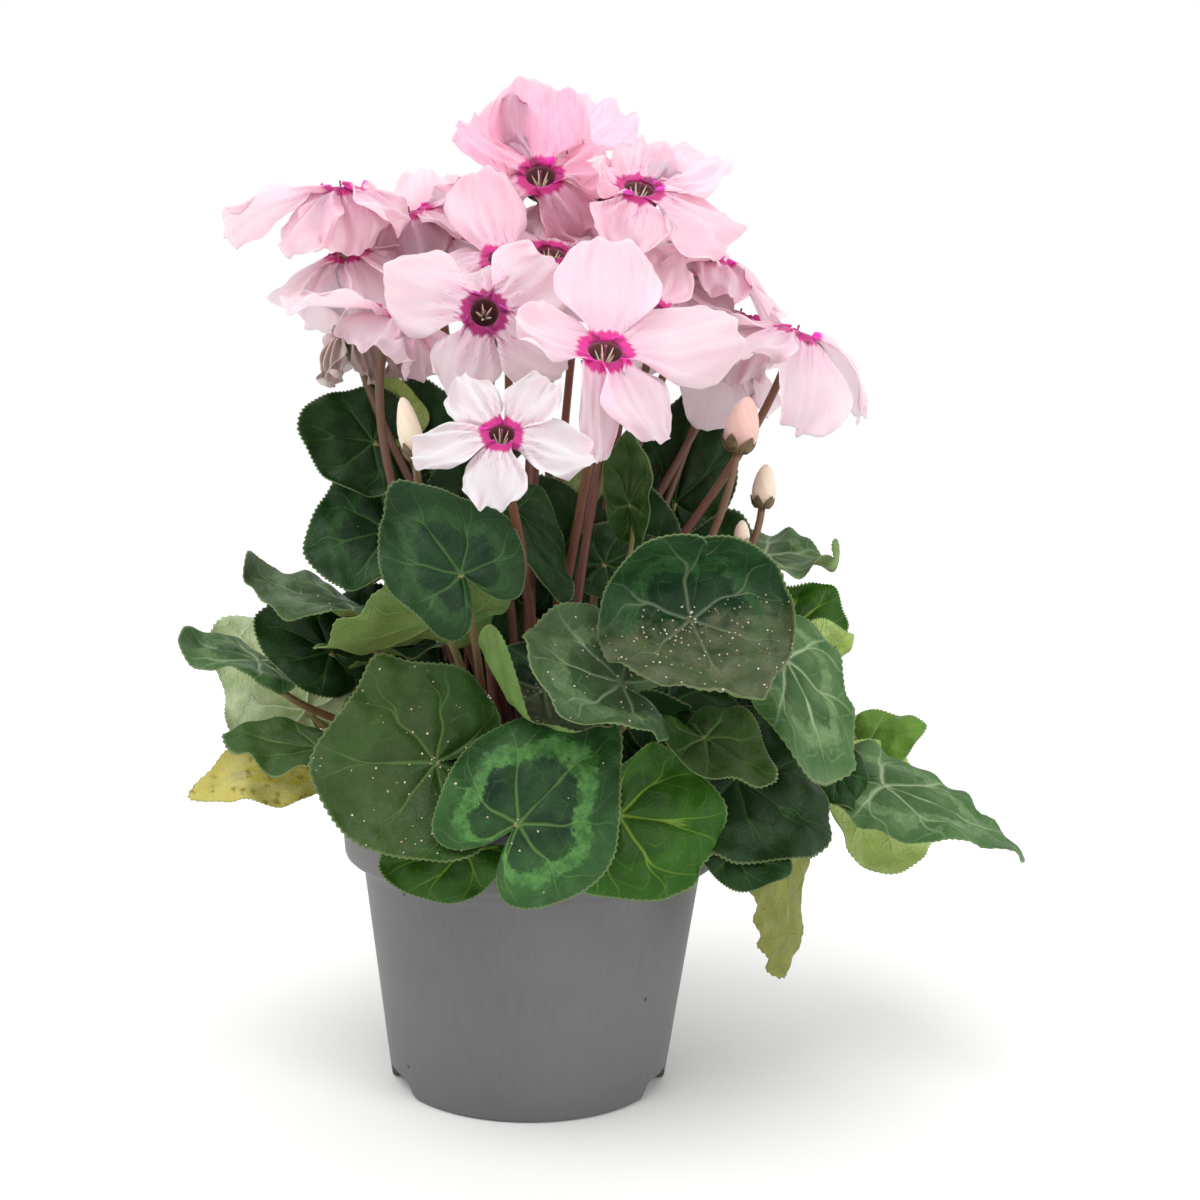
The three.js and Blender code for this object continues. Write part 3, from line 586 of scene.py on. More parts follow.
# %% [markdown]
# ## One leaf blade, flat
#
# A cyclamen blade is a heart with two round lobes behind the stalk and fine, pale-tipped teeth all
# round the margin. By hand one would draw the heart and lift its veins. Here a plain grid is wrapped
# once round the place where the stalk joins, so its rows run round the leaf and its columns run out
# to the margin. Solidify gives it two faces and a rim. This flat disc is modelled once, and every
# leaf of the plant is a copy of it that is shaped by its own numbers.

# %% The flat blade
def two_faced(sheet, under=0):
    """Gives a sheet two faces and a rim. under: how many slots further its lower face takes its skin."""
    wall = sheet.modifiers.new("two_faces", "SOLIDIFY")
    wall.thickness = 0.02
    wall.offset = 0
    wall.material_offset = under
    apply_modifiers(sheet)


BLADE_SECTORS = 192
BLADE_RINGS = 22
bpy.ops.mesh.primitive_grid_add(x_subdivisions=BLADE_SECTORS, y_subdivisions=BLADE_RINGS, size=1)
flat_blade = bpy.context.object
flat_blade.name = "flat_blade"
sheet = points_of(flat_blade)
turn = (sheet[:, 0] + 0.5) * 2 * math.pi - math.pi
# The rings are closer together near the margin, where the teeth are.
share = 1 - (1 - (sheet[:, 1] + 0.5)) ** 1.35
set_points(flat_blade, np.stack([share * np.sin(turn), share * np.cos(turn), 0 * turn], axis=1))
bpy.ops.object.mode_set(mode="EDIT")
bpy.ops.mesh.select_all(action="SELECT")
bpy.ops.mesh.remove_doubles(threshold=1e-5)
bpy.ops.mesh.normals_make_consistent(inside=False)
bpy.ops.object.mode_set(mode="OBJECT")
if flat_blade.data.polygons[0].normal.z < 0:
    flat_blade.data.flip_normals()
# Joining pieces merges slots that hold the same material, so each slot gets a stand-in of its own
# until the real finish takes its place.
STAND_INS = [bpy.data.materials.new(f"stand_in_{number}") for number in range(6)]


def slotted(piece, slot_number, slots=len(STAND_INS)):
    """Gives the piece its material slots, and all its faces one of them."""
    piece.data.materials.clear()
    for stand_in in STAND_INS[:slots]:
        piece.data.materials.append(stand_in)
    piece.data.polygons.foreach_set("material_index", [slot_number] * len(piece.data.polygons))
    return piece


UPPER, UNDER, SKIN = range(3)
LEAF_SLOTS = 3
two_faced(slotted(flat_blade, UPPER, LEAF_SLOTS), UNDER)
print("blade:", len(flat_blade.data.vertices), "points,", len(flat_blade.data.polygons), "faces")

# %% [markdown]
# Blade and stalk grow as one piece, so they are joined into one. Each point keeps the number of the
# part that it came from, which tells the shaping functions later which points are theirs.

# %% The blade and its stalk as one piece
def joined(first, *others):
    """Joins pieces into the first one, each keeping its number in the value part."""
    for number, piece in enumerate((first, *others)):
        layer = piece.data.attributes.new("part", "INT", "POINT")
        layer.data.foreach_set("value", [number] * len(piece.data.vertices))
    take_up(first)
    for piece in others:
        piece.select_set(True)
    bpy.ops.object.join()
    return first


def parts_of(piece):
    """The part number of each point."""
    numbers = np.empty(len(piece.data.vertices), np.int32)
    piece.data.attributes["part"].data.foreach_get("value", numbers)
    return numbers


def copy_of(piece, name):
    """A copy with a mesh of its own."""
    copy = piece.copy()
    copy.data = piece.data.copy()
    copy.name = name
    bpy.context.scene.collection.objects.link(copy)
    return copy


flat_leaf = joined(flat_blade, slotted(copy_of(straight_stalk, "stalk"), SKIN, LEAF_SLOTS))
flat_leaf.name = "flat_leaf"
leaf_parts = parts_of(flat_leaf)
leaf_points = points_of(flat_leaf)
print("leaf:", len(leaf_points), "points in", leaf_parts.max() + 1, "parts")

# %% [markdown]
# ## Where each leaf stands
#
# The table is the plant's plan: at is where the stalk meets the blade and tip the far end of the
# midrib, both in millimetres, and face is the way the green side looks. wide is half the width as a
# share of the length. bend and cup are the degrees that the blade curls along and across, wave is
# the height of its wavy margin and phase where the waves start. bow pushes the stalk's middle
# aside, and skin names the finish. sinus is how wide the notch at the stalk is, overlap how many
# degrees the two lobes lie over each other, and ribs how deep the veins are. Rolls and bulges are
# lists, explained where they are used. A row gives only what is unusual about its leaf. The first
# rows are seen in the picture. The back rows stand where a healthy plant would have them.

# %% The plan of the leaves
USUAL_LEAF = dict(wide=0.85, bend=10, cup=10, wave=2, phase=0, bow=(0, 0, 0), skin="dark", sinus=0.07,
                  overlap=0, ribs=1, rolls=(), bulges=())


def row(name, at, tip, face, **unusual):
    """One leaf of the plan: its name, where it stands, and what is unusual about it."""
    return {**USUAL_LEAF, "name": name, "at": at, "tip": tip, "face": face, **unusual}


LEAVES = [
    row("front_left_big", (-27, -62, 108), (-60, -65, 107), (-0.2, -0.9, 0.35), wide=1.12, cup=25,
        wave=2.5, phase=30, skin="plain", bulges=[(62, 13, 0.2), (28, 18, -0.14), (108, 22, -0.06)],
        rolls=[(95, 0.78, 6, 50)]),
    row("front_marbled", (-4, -78, 95), (19, -67, 118), (0.05, -0.97, 0.3), wide=0.9, bend=15, cup=-6,
        wave=1.5, phase=60, bow=(0, -3, 10), skin="marbled", sinus=0.12,
        bulges=[(0, 14, 0.06), (-60, 30, 0.05)], rolls=[(-75, 0.45, -14, 40)]),
    row("front_low_left", (-19, -63, 85), (-42, -59, 78), (-0.15, -0.95, 0.25), wide=0.7, cup=5, wave=1.5,
        phase=120, bow=(-9, -9, 10), skin="bright", rolls=[(-20, 0.7, 5, 50)]),
    row("front_right_bright", (23, -66, 95), (52, -57, 90), (0.15, -0.97, 0.2), wide=0.98, bend=15, cup=0,
        wave=3, skin="bright", bulges=[(-97, 19, -0.42), (-138, 20, 0.14)], rolls=[(80, 0.6, -9, 50)]),
    row("right_low_dark", (57, -46, 102), (83, -46, 84), (0.35, -0.85, 0.4), wide=0.95, bend=20, cup=5,
        wave=1.5, rolls=[(-60, 0.6, -9, 40)]),
    row("right_small", (46, -64, 116), (60, -77, 108), (0.25, -0.8, 0.55), wide=0.8, wave=1.5,
        bow=(0, 0, 5), skin="plain", rolls=[(110, 0.3, 6, 50)], bulges=[(0, 30, 0.12)]),
    row("mid_variegated", (22, -76, 132), (-7, -84, 139), (-0.05, -0.62, 0.8), wide=0.95, cup=25,
        wave=2.5, phase=60, skin="silvery", sinus=0.11, rolls=[(-160, 0.3, -7, 50), (-25, 0.62, 8, 35)],
        bulges=[(-150, 24, 0.15)]),
    row("mid_right_big", (41, -66, 148), (50, -98, 131), (0.05, -0.65, 0.75), wide=0.9, bend=-30, cup=20,
        phase=60, skin="dusty", sinus=0.05, overlap=26,
        rolls=[(180, 0.02, 9, 80), (-78, 0.62, 4, 150), (60, 0.72, 8, 50)],
        bulges=[(150, 40, 0.2), (-150, 40, 0.2)]),
    row("right_mid", (70, -47, 136), (80, -62, 105), (0.45, -0.72, 0.5), wide=0.62, bend=25, cup=15,
        wave=2.5, skin="striped", bulges=[(28, 18, 0.16), (-28, 18, 0.16)], rolls=[(85, 0.35, -7, 50)]),
    row("right_back_small", (78, -15, 143), (92, -5, 153), (0.3, -0.5, 0.8), bend=20, cup=15, wave=1.5,
        skin="bright", rolls=[(-60, 0.6, 4, 90)]),
    row("right_top", (72, 8, 164), (96, -4, 161), (0.1, -0.3, 0.95), wide=0.8, bend=-15, cup=20, wave=3,
        skin="striped", rolls=[(-10, 0.72, 3.5, 130), (100, 0.4, 8, 45)]),
    row("right_far_bright", (109, 24, 99), (128, 18, 108), (0.4, -0.6, 0.7), wide=0.75, wave=1.5,
        bow=(0, 3, 0), skin="lime", rolls=[(60, 0.55, 5, 60)]),
    row("right_far_tip", (108, -12, 94), (149, -20, 76), (0.25, -0.55, 0.8), wide=0.5, bend=20, cup=-15,
        wave=1.5, bow=(0, 0, 5), skin="striped", rolls=[(80, 0.25, -6, 60), (-80, 0.3, -7, 40)],
        bulges=[(40, 22, -0.12), (-40, 22, -0.12)]),
    row("right_far_under", (108, 11, 86), (133, 20, 75), (0.1, 0.85, -0.5), wide=0.95, cup=0, wave=2.5,
        bow=(0, 6, -4), skin="lime", ribs=1.6, bulges=[(20, 10, -0.22), (-60, 30, 0.2)],
        rolls=[(-60, 0.6, -5, 50)]),
    row("right_hanging", (77, -22, 80), (75, -26, 39), (-0.75, 0.5, 0.1), wide=0.8, bend=-5, cup=15,
        wave=0.5, bow=(0, 0, 5), skin="olive", rolls=[(90, 0.4, 9, 30)]),
    row("centre_bowl", (2, -62, 128), (6, -84, 118), (0.05, -0.2, 0.98), wide=1.15, bend=-35, cup=50,
        wave=1.5, phase=30, skin="dusty", overlap=10, rolls=[(0, 0.78, 4, 65), (68, 0.38, 6, 82)],
        bulges=[(72, 36, 0.42)]),
    row("left_mid_marbled", (-21, -62, 159), (-38, -54, 180), (0.15, -0.97, 0.25), wide=0.86, bend=15,
        cup=5, bow=(0, 4, 0), skin="veiled", sinus=0.12, bulges=[(0, 10, 0.08), (35, 14, -0.05)],
        rolls=[(-90, 0.6, -9, 40), (15, 0.72, 7, 35)]),
    row("left_upper_low", (-47, -4, 169), (-71, -8, 162), (-0.35, -0.85, 0.35), wide=1.1, cup=20,
        wave=1.5, bow=(-3, 0, 0), skin="veiled", sinus=0.1, rolls=[(-100, 0.5, 5, 110)],
        bulges=[(-100, 24, 0.12)]),
    row("left_upper_high", (-51, -9, 196), (-72, -15, 198), (-0.3, -0.92, 0.25), wide=1.0, bend=15,
        cup=15, wave=1.5, phase=60, bow=(3, -3, 0), sinus=0.1, rolls=[(-70, 0.66, 4, 110)],
        bulges=[(-70, 22, 0.12)]),
    row("left_level", (-55, -22, 147), (-89, -18, 157), (-0.05, -0.12, 1), wide=0.66, bend=-10, cup=-20,
        wave=3, skin="silvery", rolls=[(-75, 0.45, -5, 70), (0, 0.8, 5, 60)]),
    row("left_turned", (-28, -44, 145), (-62, -52, 135), (-0.15, 0.55, 0.85), wide=0.7, cup=40,
        skin="bright", rolls=[(70, 0.45, 8, 70)]),
    row("left_dark_small", (-62, -18, 133), (-82, -22, 144), (-0.3, -0.8, 0.55), wide=0.8,
        rolls=[(80, 0.5, 6, 70)]),
    # Its pale striped finish paints the sheen highlight that lies on this leaf.
    row("left_far_tip", (-84, -12, 129), (-108, -9, 135), (-0.1, -0.25, 1), wide=0.6, cup=-30, wave=1.5,
        bow=(0, -6, 0), skin="striped", rolls=[(0, 0.7, 6, 50)], bulges=[(-30, 20, 0.1)]),
    row("left_pale", (-72, 4, 112), (-99, 14, 139), (-0.4, 0.8, -0.1), wide=0.75, cup=15, wave=4.5,
        skin="pale", ribs=2.2, rolls=[(-60, 0.5, 5, 80), (60, 0.55, -6, 60)],
        bulges=[(40, 14, -0.12), (-30, 12, 0.12)]),
    row("left_low", (-63, -30, 106), (-89, -28, 109), (-0.1, -0.35, 0.95), wide=0.75, cup=-15,
        skin="plain", rolls=[(60, 0.5, -5, 50)]),
    row("left_yellow", (-69, -12, 99), (-100, -18, 91), (-0.2, -0.75, 0.45), wide=0.5, bend=15, cup=20,
        wave=3, skin="yellow", rolls=[(80, 0.5, 4, 80), (-85, 0.4, 5, 60)],
        bulges=[(0, 12, 0.14), (42, 20, -0.14), (-42, 20, -0.1)]),
    row("upper_right_dark", (44, 24, 180), (52, 30, 218), (0, -1, -0.05), wide=0.6, cup=15, wave=1.5,
        bow=(0, -9, 0), rolls=[(90, 0.4, 6, 60)]),
    row("centre_back_round", (20, -14, 161), (35, -12, 168), (0.1, -0.9, 0.3), wide=0.9, wave=1.5,
        rolls=[(-70, 0.6, 5, 60)]),
    row("centre_back_dark", (4, 20, 158), (-3, 26, 188), (-0.1, -1, 0.1), wide=0.8, cup=15, wave=1.5,
        bow=(3, -3, 0), rolls=[(-80, 0.45, 5, 80)]),
    row("back_right_low", (52, 42, 104), (78, 60, 88), (0.6, 0.5, 0.6), bend=15, skin="marbled",
        rolls=[(70, 0.6, 6, 60)]),
    row("back_low", (10, 62, 104), (14, 96, 88), (0.1, 0.7, 0.7), bend=20, phase=40, bow=(-3, 0, 0),
        skin="plain", rolls=[(-60, 0.6, 6, 60)]),
    row("back_left_low", (-44, 50, 102), (-70, 72, 90), (-0.5, 0.55, 0.65), bend=15, cup=5, phase=90,
        skin="marbled", rolls=[(60, 0.6, -6, 50)]),
    row("back_right_mid", (45, 46, 139), (67, 68, 127), (0.4, 0.5, 0.8), bend=15, cup=15, phase=20,
        skin="plain", rolls=[(-70, 0.6, 6, 50)]),
    row("back_mid", (-4, 52, 142), (-8, 86, 134), (0, 0.5, 0.87), bend=20, phase=70, skin="marbled",
        sinus=0.1, rolls=[(70, 0.6, 6, 60)]),
    row("back_left_mid", (-42, 38, 140), (-68, 56, 132), (-0.4, 0.4, 0.85), bend=15, phase=50,
        skin="bright", rolls=[(-70, 0.6, -6, 50)]),
    row("back_high", (10, 38, 176), (16, 58, 196), (0.1, 0.85, -0.3), bend=15, cup=15, bow=(6, 0, 0),
        skin="plain", rolls=[(60, 0.6, 5, 60)]),
]
print(len(LEAVES), "leaves in the plan")

# %% [markdown]
# ## Shaping a blade
#
# These functions are the botany. The outline gives the heart, curl rolls the sheet, and the vein
# rank counts main veins outwards from the midrib: it is a whole number on each vein. The same rank
# sinks the veins into the mesh and draws them in the material, so relief and colour agree.

# %% The outline, the veins and the teeth
VEIN_STEP = 0.92  # radians between main veins where they leave the stalk
TOOTH = 0.6  # how far a tooth stands out


def outline(turn, sinus, bulges):
    """How far the margin is from the stalk, by angle from the midrib, as a share of the midrib.
    A bulge is (bearing, width in degrees, share added)."""
    away = np.abs(turn) / math.pi
    notch = 1 - 0.86 * np.exp(-(((1 - away) / sinus) ** 2))
    tip = 1 + 0.06 * np.exp(-((turn / 0.3) ** 2))
    size = ((1 - 0.42 * away**1.1) * notch * tip) / 1.06
    for bearing, width, added in bulges:
        off = (turn - math.radians(bearing) + math.pi) % (2 * math.pi) - math.pi
        size = size * (1 + added * np.exp(-((off / math.radians(width)) ** 2)))
    return size


def curl(distance, degrees, length):
    """A flat distance rolled up: how far it reaches, and how far it lifts."""
    rate = math.radians(degrees) / length
    if abs(rate) < 1e-6:
        return distance, distance * 0
    return np.sin(rate * distance) / rate, (1 - np.cos(rate * distance)) / rate


def vein_rank(turn, share, wander):
    """A whole number on each main vein, 0 on the midrib. Veins bow towards the tip as they run out."""
    bowed = np.abs(turn) + 0.28 * share**1.5 * np.sin(np.abs(turn))
    return bowed / VEIN_STEP + wander * (np.abs(turn) > 0.02)


def teeth(turn, share, length):
    """Fine teeth round the margin, each two columns of the blade wide, as a share of the radius."""
    count = BLADE_SECTORS / 2
    saw = 2 * np.abs((turn / (2 * math.pi) * count) % 1 - 0.5)
    return saw * (TOOTH / length) * np.clip((share - 0.93) / 0.07, 0, 1)

# %% [markdown]
# A real blade is never flat. It curls along and across, its margin waves, and its sides often roll
# over. Sculpting would mean shaping each of them by hand. As formulas, each curl, wave and roll is a
# number in the leaf's row, and chance from the leaf's own name adds the small unevenness.

# %% From the flat blade to a leaf's own blade
def axes_from(z_ward, y_ward):
    """Three directions as columns: Y along one vector and Z as near as it can be to another."""
    y = unit(y_ward)
    x = unit(np.cross(y, z_ward))
    return np.stack([x, y, np.cross(x, y)], axis=1)


def ripple(x, y, dice, spans):
    """A few soft waves that cross each other, between about -1 and 1."""
    total = 0
    for span in spans:
        way = dice.uniform(0, 2 * math.pi)
        start = dice.uniform(0, 2 * math.pi)
        total = total + np.sin((x * math.cos(way) + y * math.sin(way)) * 2 * math.pi / span + start)
    return total / len(spans)


def rolled_over(x, y, height, half, leaf, length):
    """Folds parts of the blade. A roll is (bearing in degrees from the midrib, where it starts as a
    share of the midrib, radius in mm, degrees turned); a negative radius rolls it under the leaf."""
    lean_x, lean_y, upright = 0 * x, 0 * y, 0 * x + 1
    for bearing, start, radius, most in leaf["rolls"]:
        way = np.array([math.sin(math.radians(bearing)), math.cos(math.radians(bearing))])
        beyond = np.maximum(0, x * way[0] + y * way[1] - start * length)
        angle = np.minimum(beyond / abs(radius), math.radians(most))
        straight_on = beyond - angle * abs(radius)
        pulled = abs(radius) * np.sin(angle) + straight_on * np.cos(angle) - beyond
        raised = abs(radius) * (1 - np.cos(angle)) + straight_on * np.sin(angle)
        sign = math.copysign(1, radius)
        x, y = x + way[0] * pulled, y + way[1] * pulled
        height = height * np.cos(angle) + sign * raised
        lean_x, lean_y = lean_x - sign * way[0] * np.sin(angle), lean_y - sign * way[1] * np.sin(angle)
        upright = upright * np.cos(angle)
    return (x + lean_x * half, y + lean_y * half), height + upright * half


def shape_blade(leaf, flat):
    """The blade's points in mm, with what its material needs: vein values and flat coordinates."""
    dice = random.Random(leaf["name"])
    at = np.array(leaf["at"], float)
    reach = np.array(leaf["tip"], float) - at
    half = math.radians(leaf["bend"]) / 2
    length = np.linalg.norm(reach) * (half / math.sin(half) if abs(half) > 1e-6 else 1)
    rolled = np.array(Matrix.Rotation(half, 3, "X"))
    frame_axes = axes_from(leaf["face"], reach) @ rolled

    turn = np.arctan2(flat[:, 0], flat[:, 1])
    share = np.minimum(1, np.hypot(flat[:, 0], flat[:, 1]))
    side = np.sign(flat[:, 2])
    size = outline(turn, leaf["sinus"], leaf["bulges"])
    slow = 0.04 * np.sin(3 * turn + dice.uniform(0, 6))
    size = size * (1 + slow + 0.03 * np.sin(5 * turn + dice.uniform(0, 6)))
    radius = size * length * share * (1 + teeth(turn, share, length))
    # The two lobes at the stalk may lie over each other: then the angle is stretched past the half turn.
    lap = math.radians(leaf["overlap"]) / math.pi
    x, y = radius * leaf["wide"] * np.sin(turn * (1 + lap)), radius * np.cos(turn * (1 + lap))

    wander = 0.10 * ripple(x, y, dice, (21, 13, 9)) * np.minimum(1, share * 2)
    rank = vein_rank(turn, share, wander)
    fold = np.abs((rank + 0.5) % 1 - 0.5)
    from_vein = fold * VEIN_STEP * np.maximum(radius, 0.5)
    fading = np.clip(1 - share, 0, 1) ** 0.5
    sunk = -0.5 * leaf["ribs"] * np.exp(-((from_vein / 1.2) ** 2)) * fading
    quilted = 0.7 * leaf["ribs"] * np.clip(from_vein / 4, 0, 1) * fading
    quilted = quilted + 4 * lap * np.sign(turn) * np.clip(np.abs(turn) - 2, 0, 1)
    quilted = quilted + (1.5 * ripple(x, y, dice, (26, 19)) + 0.5 * ripple(x, y, dice, (9, 7))) * share
    wave = leaf["wave"] * share**2 * np.sin(3 * turn + math.radians(leaf["phase"]))
    wave = wave + 0.6 * leaf["wave"] * share**3 * np.sin(5 * turn + dice.uniform(0, 6))
    frill = 1.6 * share**3 * ripple(x, y, dice, (16, 11))
    thickness = 0.62 - 0.3 * share**6
    sheet, lifted = rolled_over(x, y, wave + frill + sunk + quilted, side * thickness / 2, leaf, length)
    across, up = curl(sheet[0], leaf["cup"], length)
    height = up + lifted
    along, drop = curl(sheet[1], leaf["bend"], length)
    slope = math.radians(leaf["bend"]) * (sheet[1] / length)
    local = np.stack([across, along + height * np.sin(slope), height * np.cos(slope) - drop], axis=1)
    seed = np.full_like(x, dice.uniform(0, 100))
    veins = np.stack([rank, share, radius], axis=1)
    return at + local @ frame_axes.T, veins, np.stack([x, y, seed], axis=1)

# %% [markdown]
# ## The finish of a leaf
#
# Cyclamen leaves are leathery, with a thin wax that gives them a satin sheen. Many cultivars carry
# a silvery band about two thirds of the way out: there the skin has air under it. Inside it the
# leaf is a deep bluish green, outside it a plainer green. Veins are lighter, and fork towards the
# margin. The underside is pale and matt, with the veins standing proud.
#
# The vein lines come from folding the vein rank: pingpong is 0 on each vein and grows to a half
# between two of them. Times the vein step and the distance from the stalk, that is millimetres, so
# every line has a real width. Side veins come from the same fold, slanted outwards, and the finest
# net is a Voronoi pattern of cells 2 mm across.

# %% The vein lines
def vein_masks(material, breadth=1.0):
    """Masks of the main veins, the side veins and the net, with the values that they come from."""
    add = partial(add_node, material)
    kept = add("Attribute", attribute_name="veins", out="Vector")
    rank, share, reach = add("SeparateXYZ", {0: kept}, out=None)
    flat = add("Attribute", attribute_name="flat", out="Vector")
    fold = add("Math", {0: rank, 1: 0.5}, operation="PINGPONG")
    sweep = add("Math", {0: reach, 1: VEIN_STEP}, operation="MULTIPLY")
    # Past half way each main vein forks in two.
    spread = add("MapRange", {"Value": share, "From Min": 0.5, "From Max": 1.0, "To Max": 0.2})
    parted = add("Math", {0: fold, 1: spread}, operation="SUBTRACT")
    forked = add("Math", {0: parted}, operation="ABSOLUTE")
    off_main = add("Math", {0: forked, 1: sweep}, operation="MULTIPLY")
    # Main veins: twice breadth in mm wide at the stalk, with soft sides, and less than half of that
    # at the margin, where they fade.
    width = add("MapRange", {"Value": share, "To Min": breadth, "To Max": 0.4 * breadth})
    line = add("MapRange", {"Value": off_main, "From Max": width, "To Min": 1.0, "To Max": 0.0}, **SOFT)
    fading = add("MapRange",
                 {"Value": share, "From Min": 0.45, "From Max": 0.95, "To Min": 1.0, "To Max": 0.25})
    main = add("Math", {0: line, 1: fading}, operation="MULTIPLY")
    # Side veins: one about every 6 mm along a main vein.
    roam = add("TexNoise", {"Vector": flat, "Scale": 0.16})
    slant = add("Math", {0: fold, 1: -1.9, 2: roam}, operation="MULTIPLY_ADD")
    ladder = add("Math", {0: reach, 1: 1 / 6, 2: slant}, operation="MULTIPLY_ADD")
    rung = add("Math", {0: ladder, 1: 0.5}, operation="PINGPONG")
    side = add("MapRange", {"Value": rung, "From Max": 0.06, "To Min": 1.0, "To Max": 0.0}, **SOFT)
    started = add("MapRange", {"Value": share, "From Min": 0.25, "From Max": 0.45})
    side = add("Math", {0: side, 1: started}, operation="MULTIPLY")
    # The net: cells about 2 mm across.
    net = add("TexVoronoi", {"Vector": flat, "Scale": 0.55}, feature="DISTANCE_TO_EDGE", out="Distance")
    cell = add("MapRange", {"Value": net, "From Max": 0.12})
    return share, flat, fold, main, side, cell

# %% [markdown]
# The green side is built up in layers, as one would paint it: the heart and the outer zone, the
# silver band in flecks, soft clouds, the veins, and the pale thread at the margin. Dust, whose grey
# film also paints the sheen on the level half, and brown spots come last, and only on the leaves
# that have them. The relief uses the same veins, sunk.

# %% The upper side of a blade
def blade_upper(name, heart, outer, band, vein, marbling, vein_strength=0.6, dust_and_sheen=0.0, spots=0.0):
    """Waxy upper skin: its heart, outer zone, band and veins, and how strong the band is."""
    material = new_material(name, Roughness=0.42, Specular_IOR_Level=0.17)
    add = partial(add_node, material)
    share, flat, fold, main, side, cell = vein_masks(material, 1.0 + 4 * max(0, vein_strength - 0.75))
    # The band's edge is feathered, and it lies further in on a vein than between two of them.
    feather = add("TexNoise", {"Vector": flat, "Scale": 0.5, "Detail": 4.0, "Roughness": 0.65})
    jag = add("Math", {0: feather, 1: 0.26, 2: share}, operation="MULTIPLY_ADD")
    zone = add("Math", {0: fold, 1: -0.16, 2: jag}, operation="MULTIPLY_ADD")
    outside = add("MapRange", {"Value": zone, "From Min": 0.62, "From Max": 0.68}, **SOFT)
    inside = add("MapRange", {"Value": zone, "From Min": 0.86, "From Max": 0.80}, **SOFT)
    whole = add("Math", {0: outside, 1: inside}, operation="MULTIPLY")
    # The silver comes in flecks, so the band is broken up.
    fleck = add("TexNoise", {"Vector": flat, "Scale": 0.32, "Detail": 5.0, "Roughness": 0.7})
    flecked = add("MapRange", {"Value": fleck, "From Min": 0.4, "From Max": 0.58, "To Min": 0.25})
    ring = add("Math", {0: whole, 1: flecked}, operation="MULTIPLY")
    silver = add("Math", {0: ring, 1: marbling}, operation="MULTIPLY")
    green = add("Mix", {0: outside, 6: linear(heart), 7: linear(outer)}, **COLOUR)
    banded = add("Mix", {0: silver, 6: green, 7: linear(band)}, **COLOUR)
    # Soft clouds, 8 to 15 mm across, keep the green from looking painted.
    cloud = add("TexNoise", {"Vector": flat, "Scale": 0.09, "Detail": 3.0})
    light = add("MapRange", {"Value": cloud, "From Min": 0.38, "From Max": 0.7, "To Max": 0.3})
    clouded = add("Mix", {0: light, 6: banded, 7: linear(band)}, **COLOUR)
    fine = add("Math", {0: side, 1: 0.22}, operation="MULTIPLY")
    both = add("Math", {0: main, 1: fine}, operation="MAXIMUM")
    drawn = add("Math", {0: both, 1: vein_strength}, operation="MULTIPLY")
    veined = add("Mix", {0: drawn, 6: clouded, 7: linear(vein)}, **COLOUR)
    # The margin is a thread of pale yellow-green.
    thread = add("MapRange", {"Value": share, "From Min": 0.975, "From Max": 1.0, "To Max": 0.6})
    edged = add("Mix", {0: thread, 6: veined, 7: linear("#93a56f")}, **COLOUR)
    # Each leaf is a little lighter or darker than the next one: its seed sets by how much.
    _, north, seed = add("SeparateXYZ", {0: flat}, out=None)
    lot = add("Math", {0: seed}, operation="FRACT")
    value = add("MapRange", {"Value": lot, "To Min": 0.68, "To Max": 0.95})
    colour = add("HueSaturation", {"Value": value, "Color": edged})
    if spots:
        # A dying leaf goes brown in spots 1 to 3 mm across.
        blot = add("TexNoise", {"Vector": flat, "Scale": 0.3, "Detail": 3.0})
        brown = add("MapRange", {"Value": blot, "From Min": 0.56, "From Max": 0.66, "To Max": spots})
        colour = add("Mix", {0: brown, 6: colour, 7: linear("#7b6a2c")}, **COLOUR)
    if dust_and_sheen:
        # Potting dust lies on the half towards the tip, which is the level one, in a thin film.
        # Its grey also paints the sheen that lies on that lit, level half.
        drift = add("TexNoise", {"Vector": flat, "Scale": 0.2, "Detail": 5.0, "Roughness": 0.65})
        reached = add("Math", {0: drift, 1: 22.0, 2: north}, operation="MULTIPLY_ADD")
        level = add("MapRange", {"Value": reached, "From Min": 8.0, "From Max": 15.0, "To Max": dust_and_sheen})
        patchy = add("MapRange", {"Value": drift, "From Min": 0.2, "From Max": 0.7})
        dust_and_sheen_film = add("Math", {0: level, 1: patchy}, operation="MULTIPLY")
        colour = add("Mix", {0: dust_and_sheen_film, 6: colour, 7: linear("#5f6347")}, **COLOUR)
    # Between the side veins the blade swells into soft pillows about 5 mm across.
    pillow = add("TexVoronoi", {"Vector": flat, "Scale": 0.19}, feature="SMOOTH_F1", out="Distance")
    swell = add("Bump", {"Height": pillow, "Strength": 0.45, "Distance": 0.0022}, invert=True)
    flesh = add("Math", {0: cell, 1: 0.25}, operation="MULTIPLY")
    relief = add("Math", {0: both, 1: -1.0, 2: flesh}, operation="MULTIPLY_ADD")
    bump = add("Bump", {"Height": relief, "Normal": swell, "Strength": 0.6, "Distance": 0.0004})
    return finish_material(material, Base_Color=colour, Normal=bump)

# %% [markdown]
# The underside has no wax and no band. It is paler and matt, a little uneven, and its veins stand
# proud, so here the relief is turned the other way.

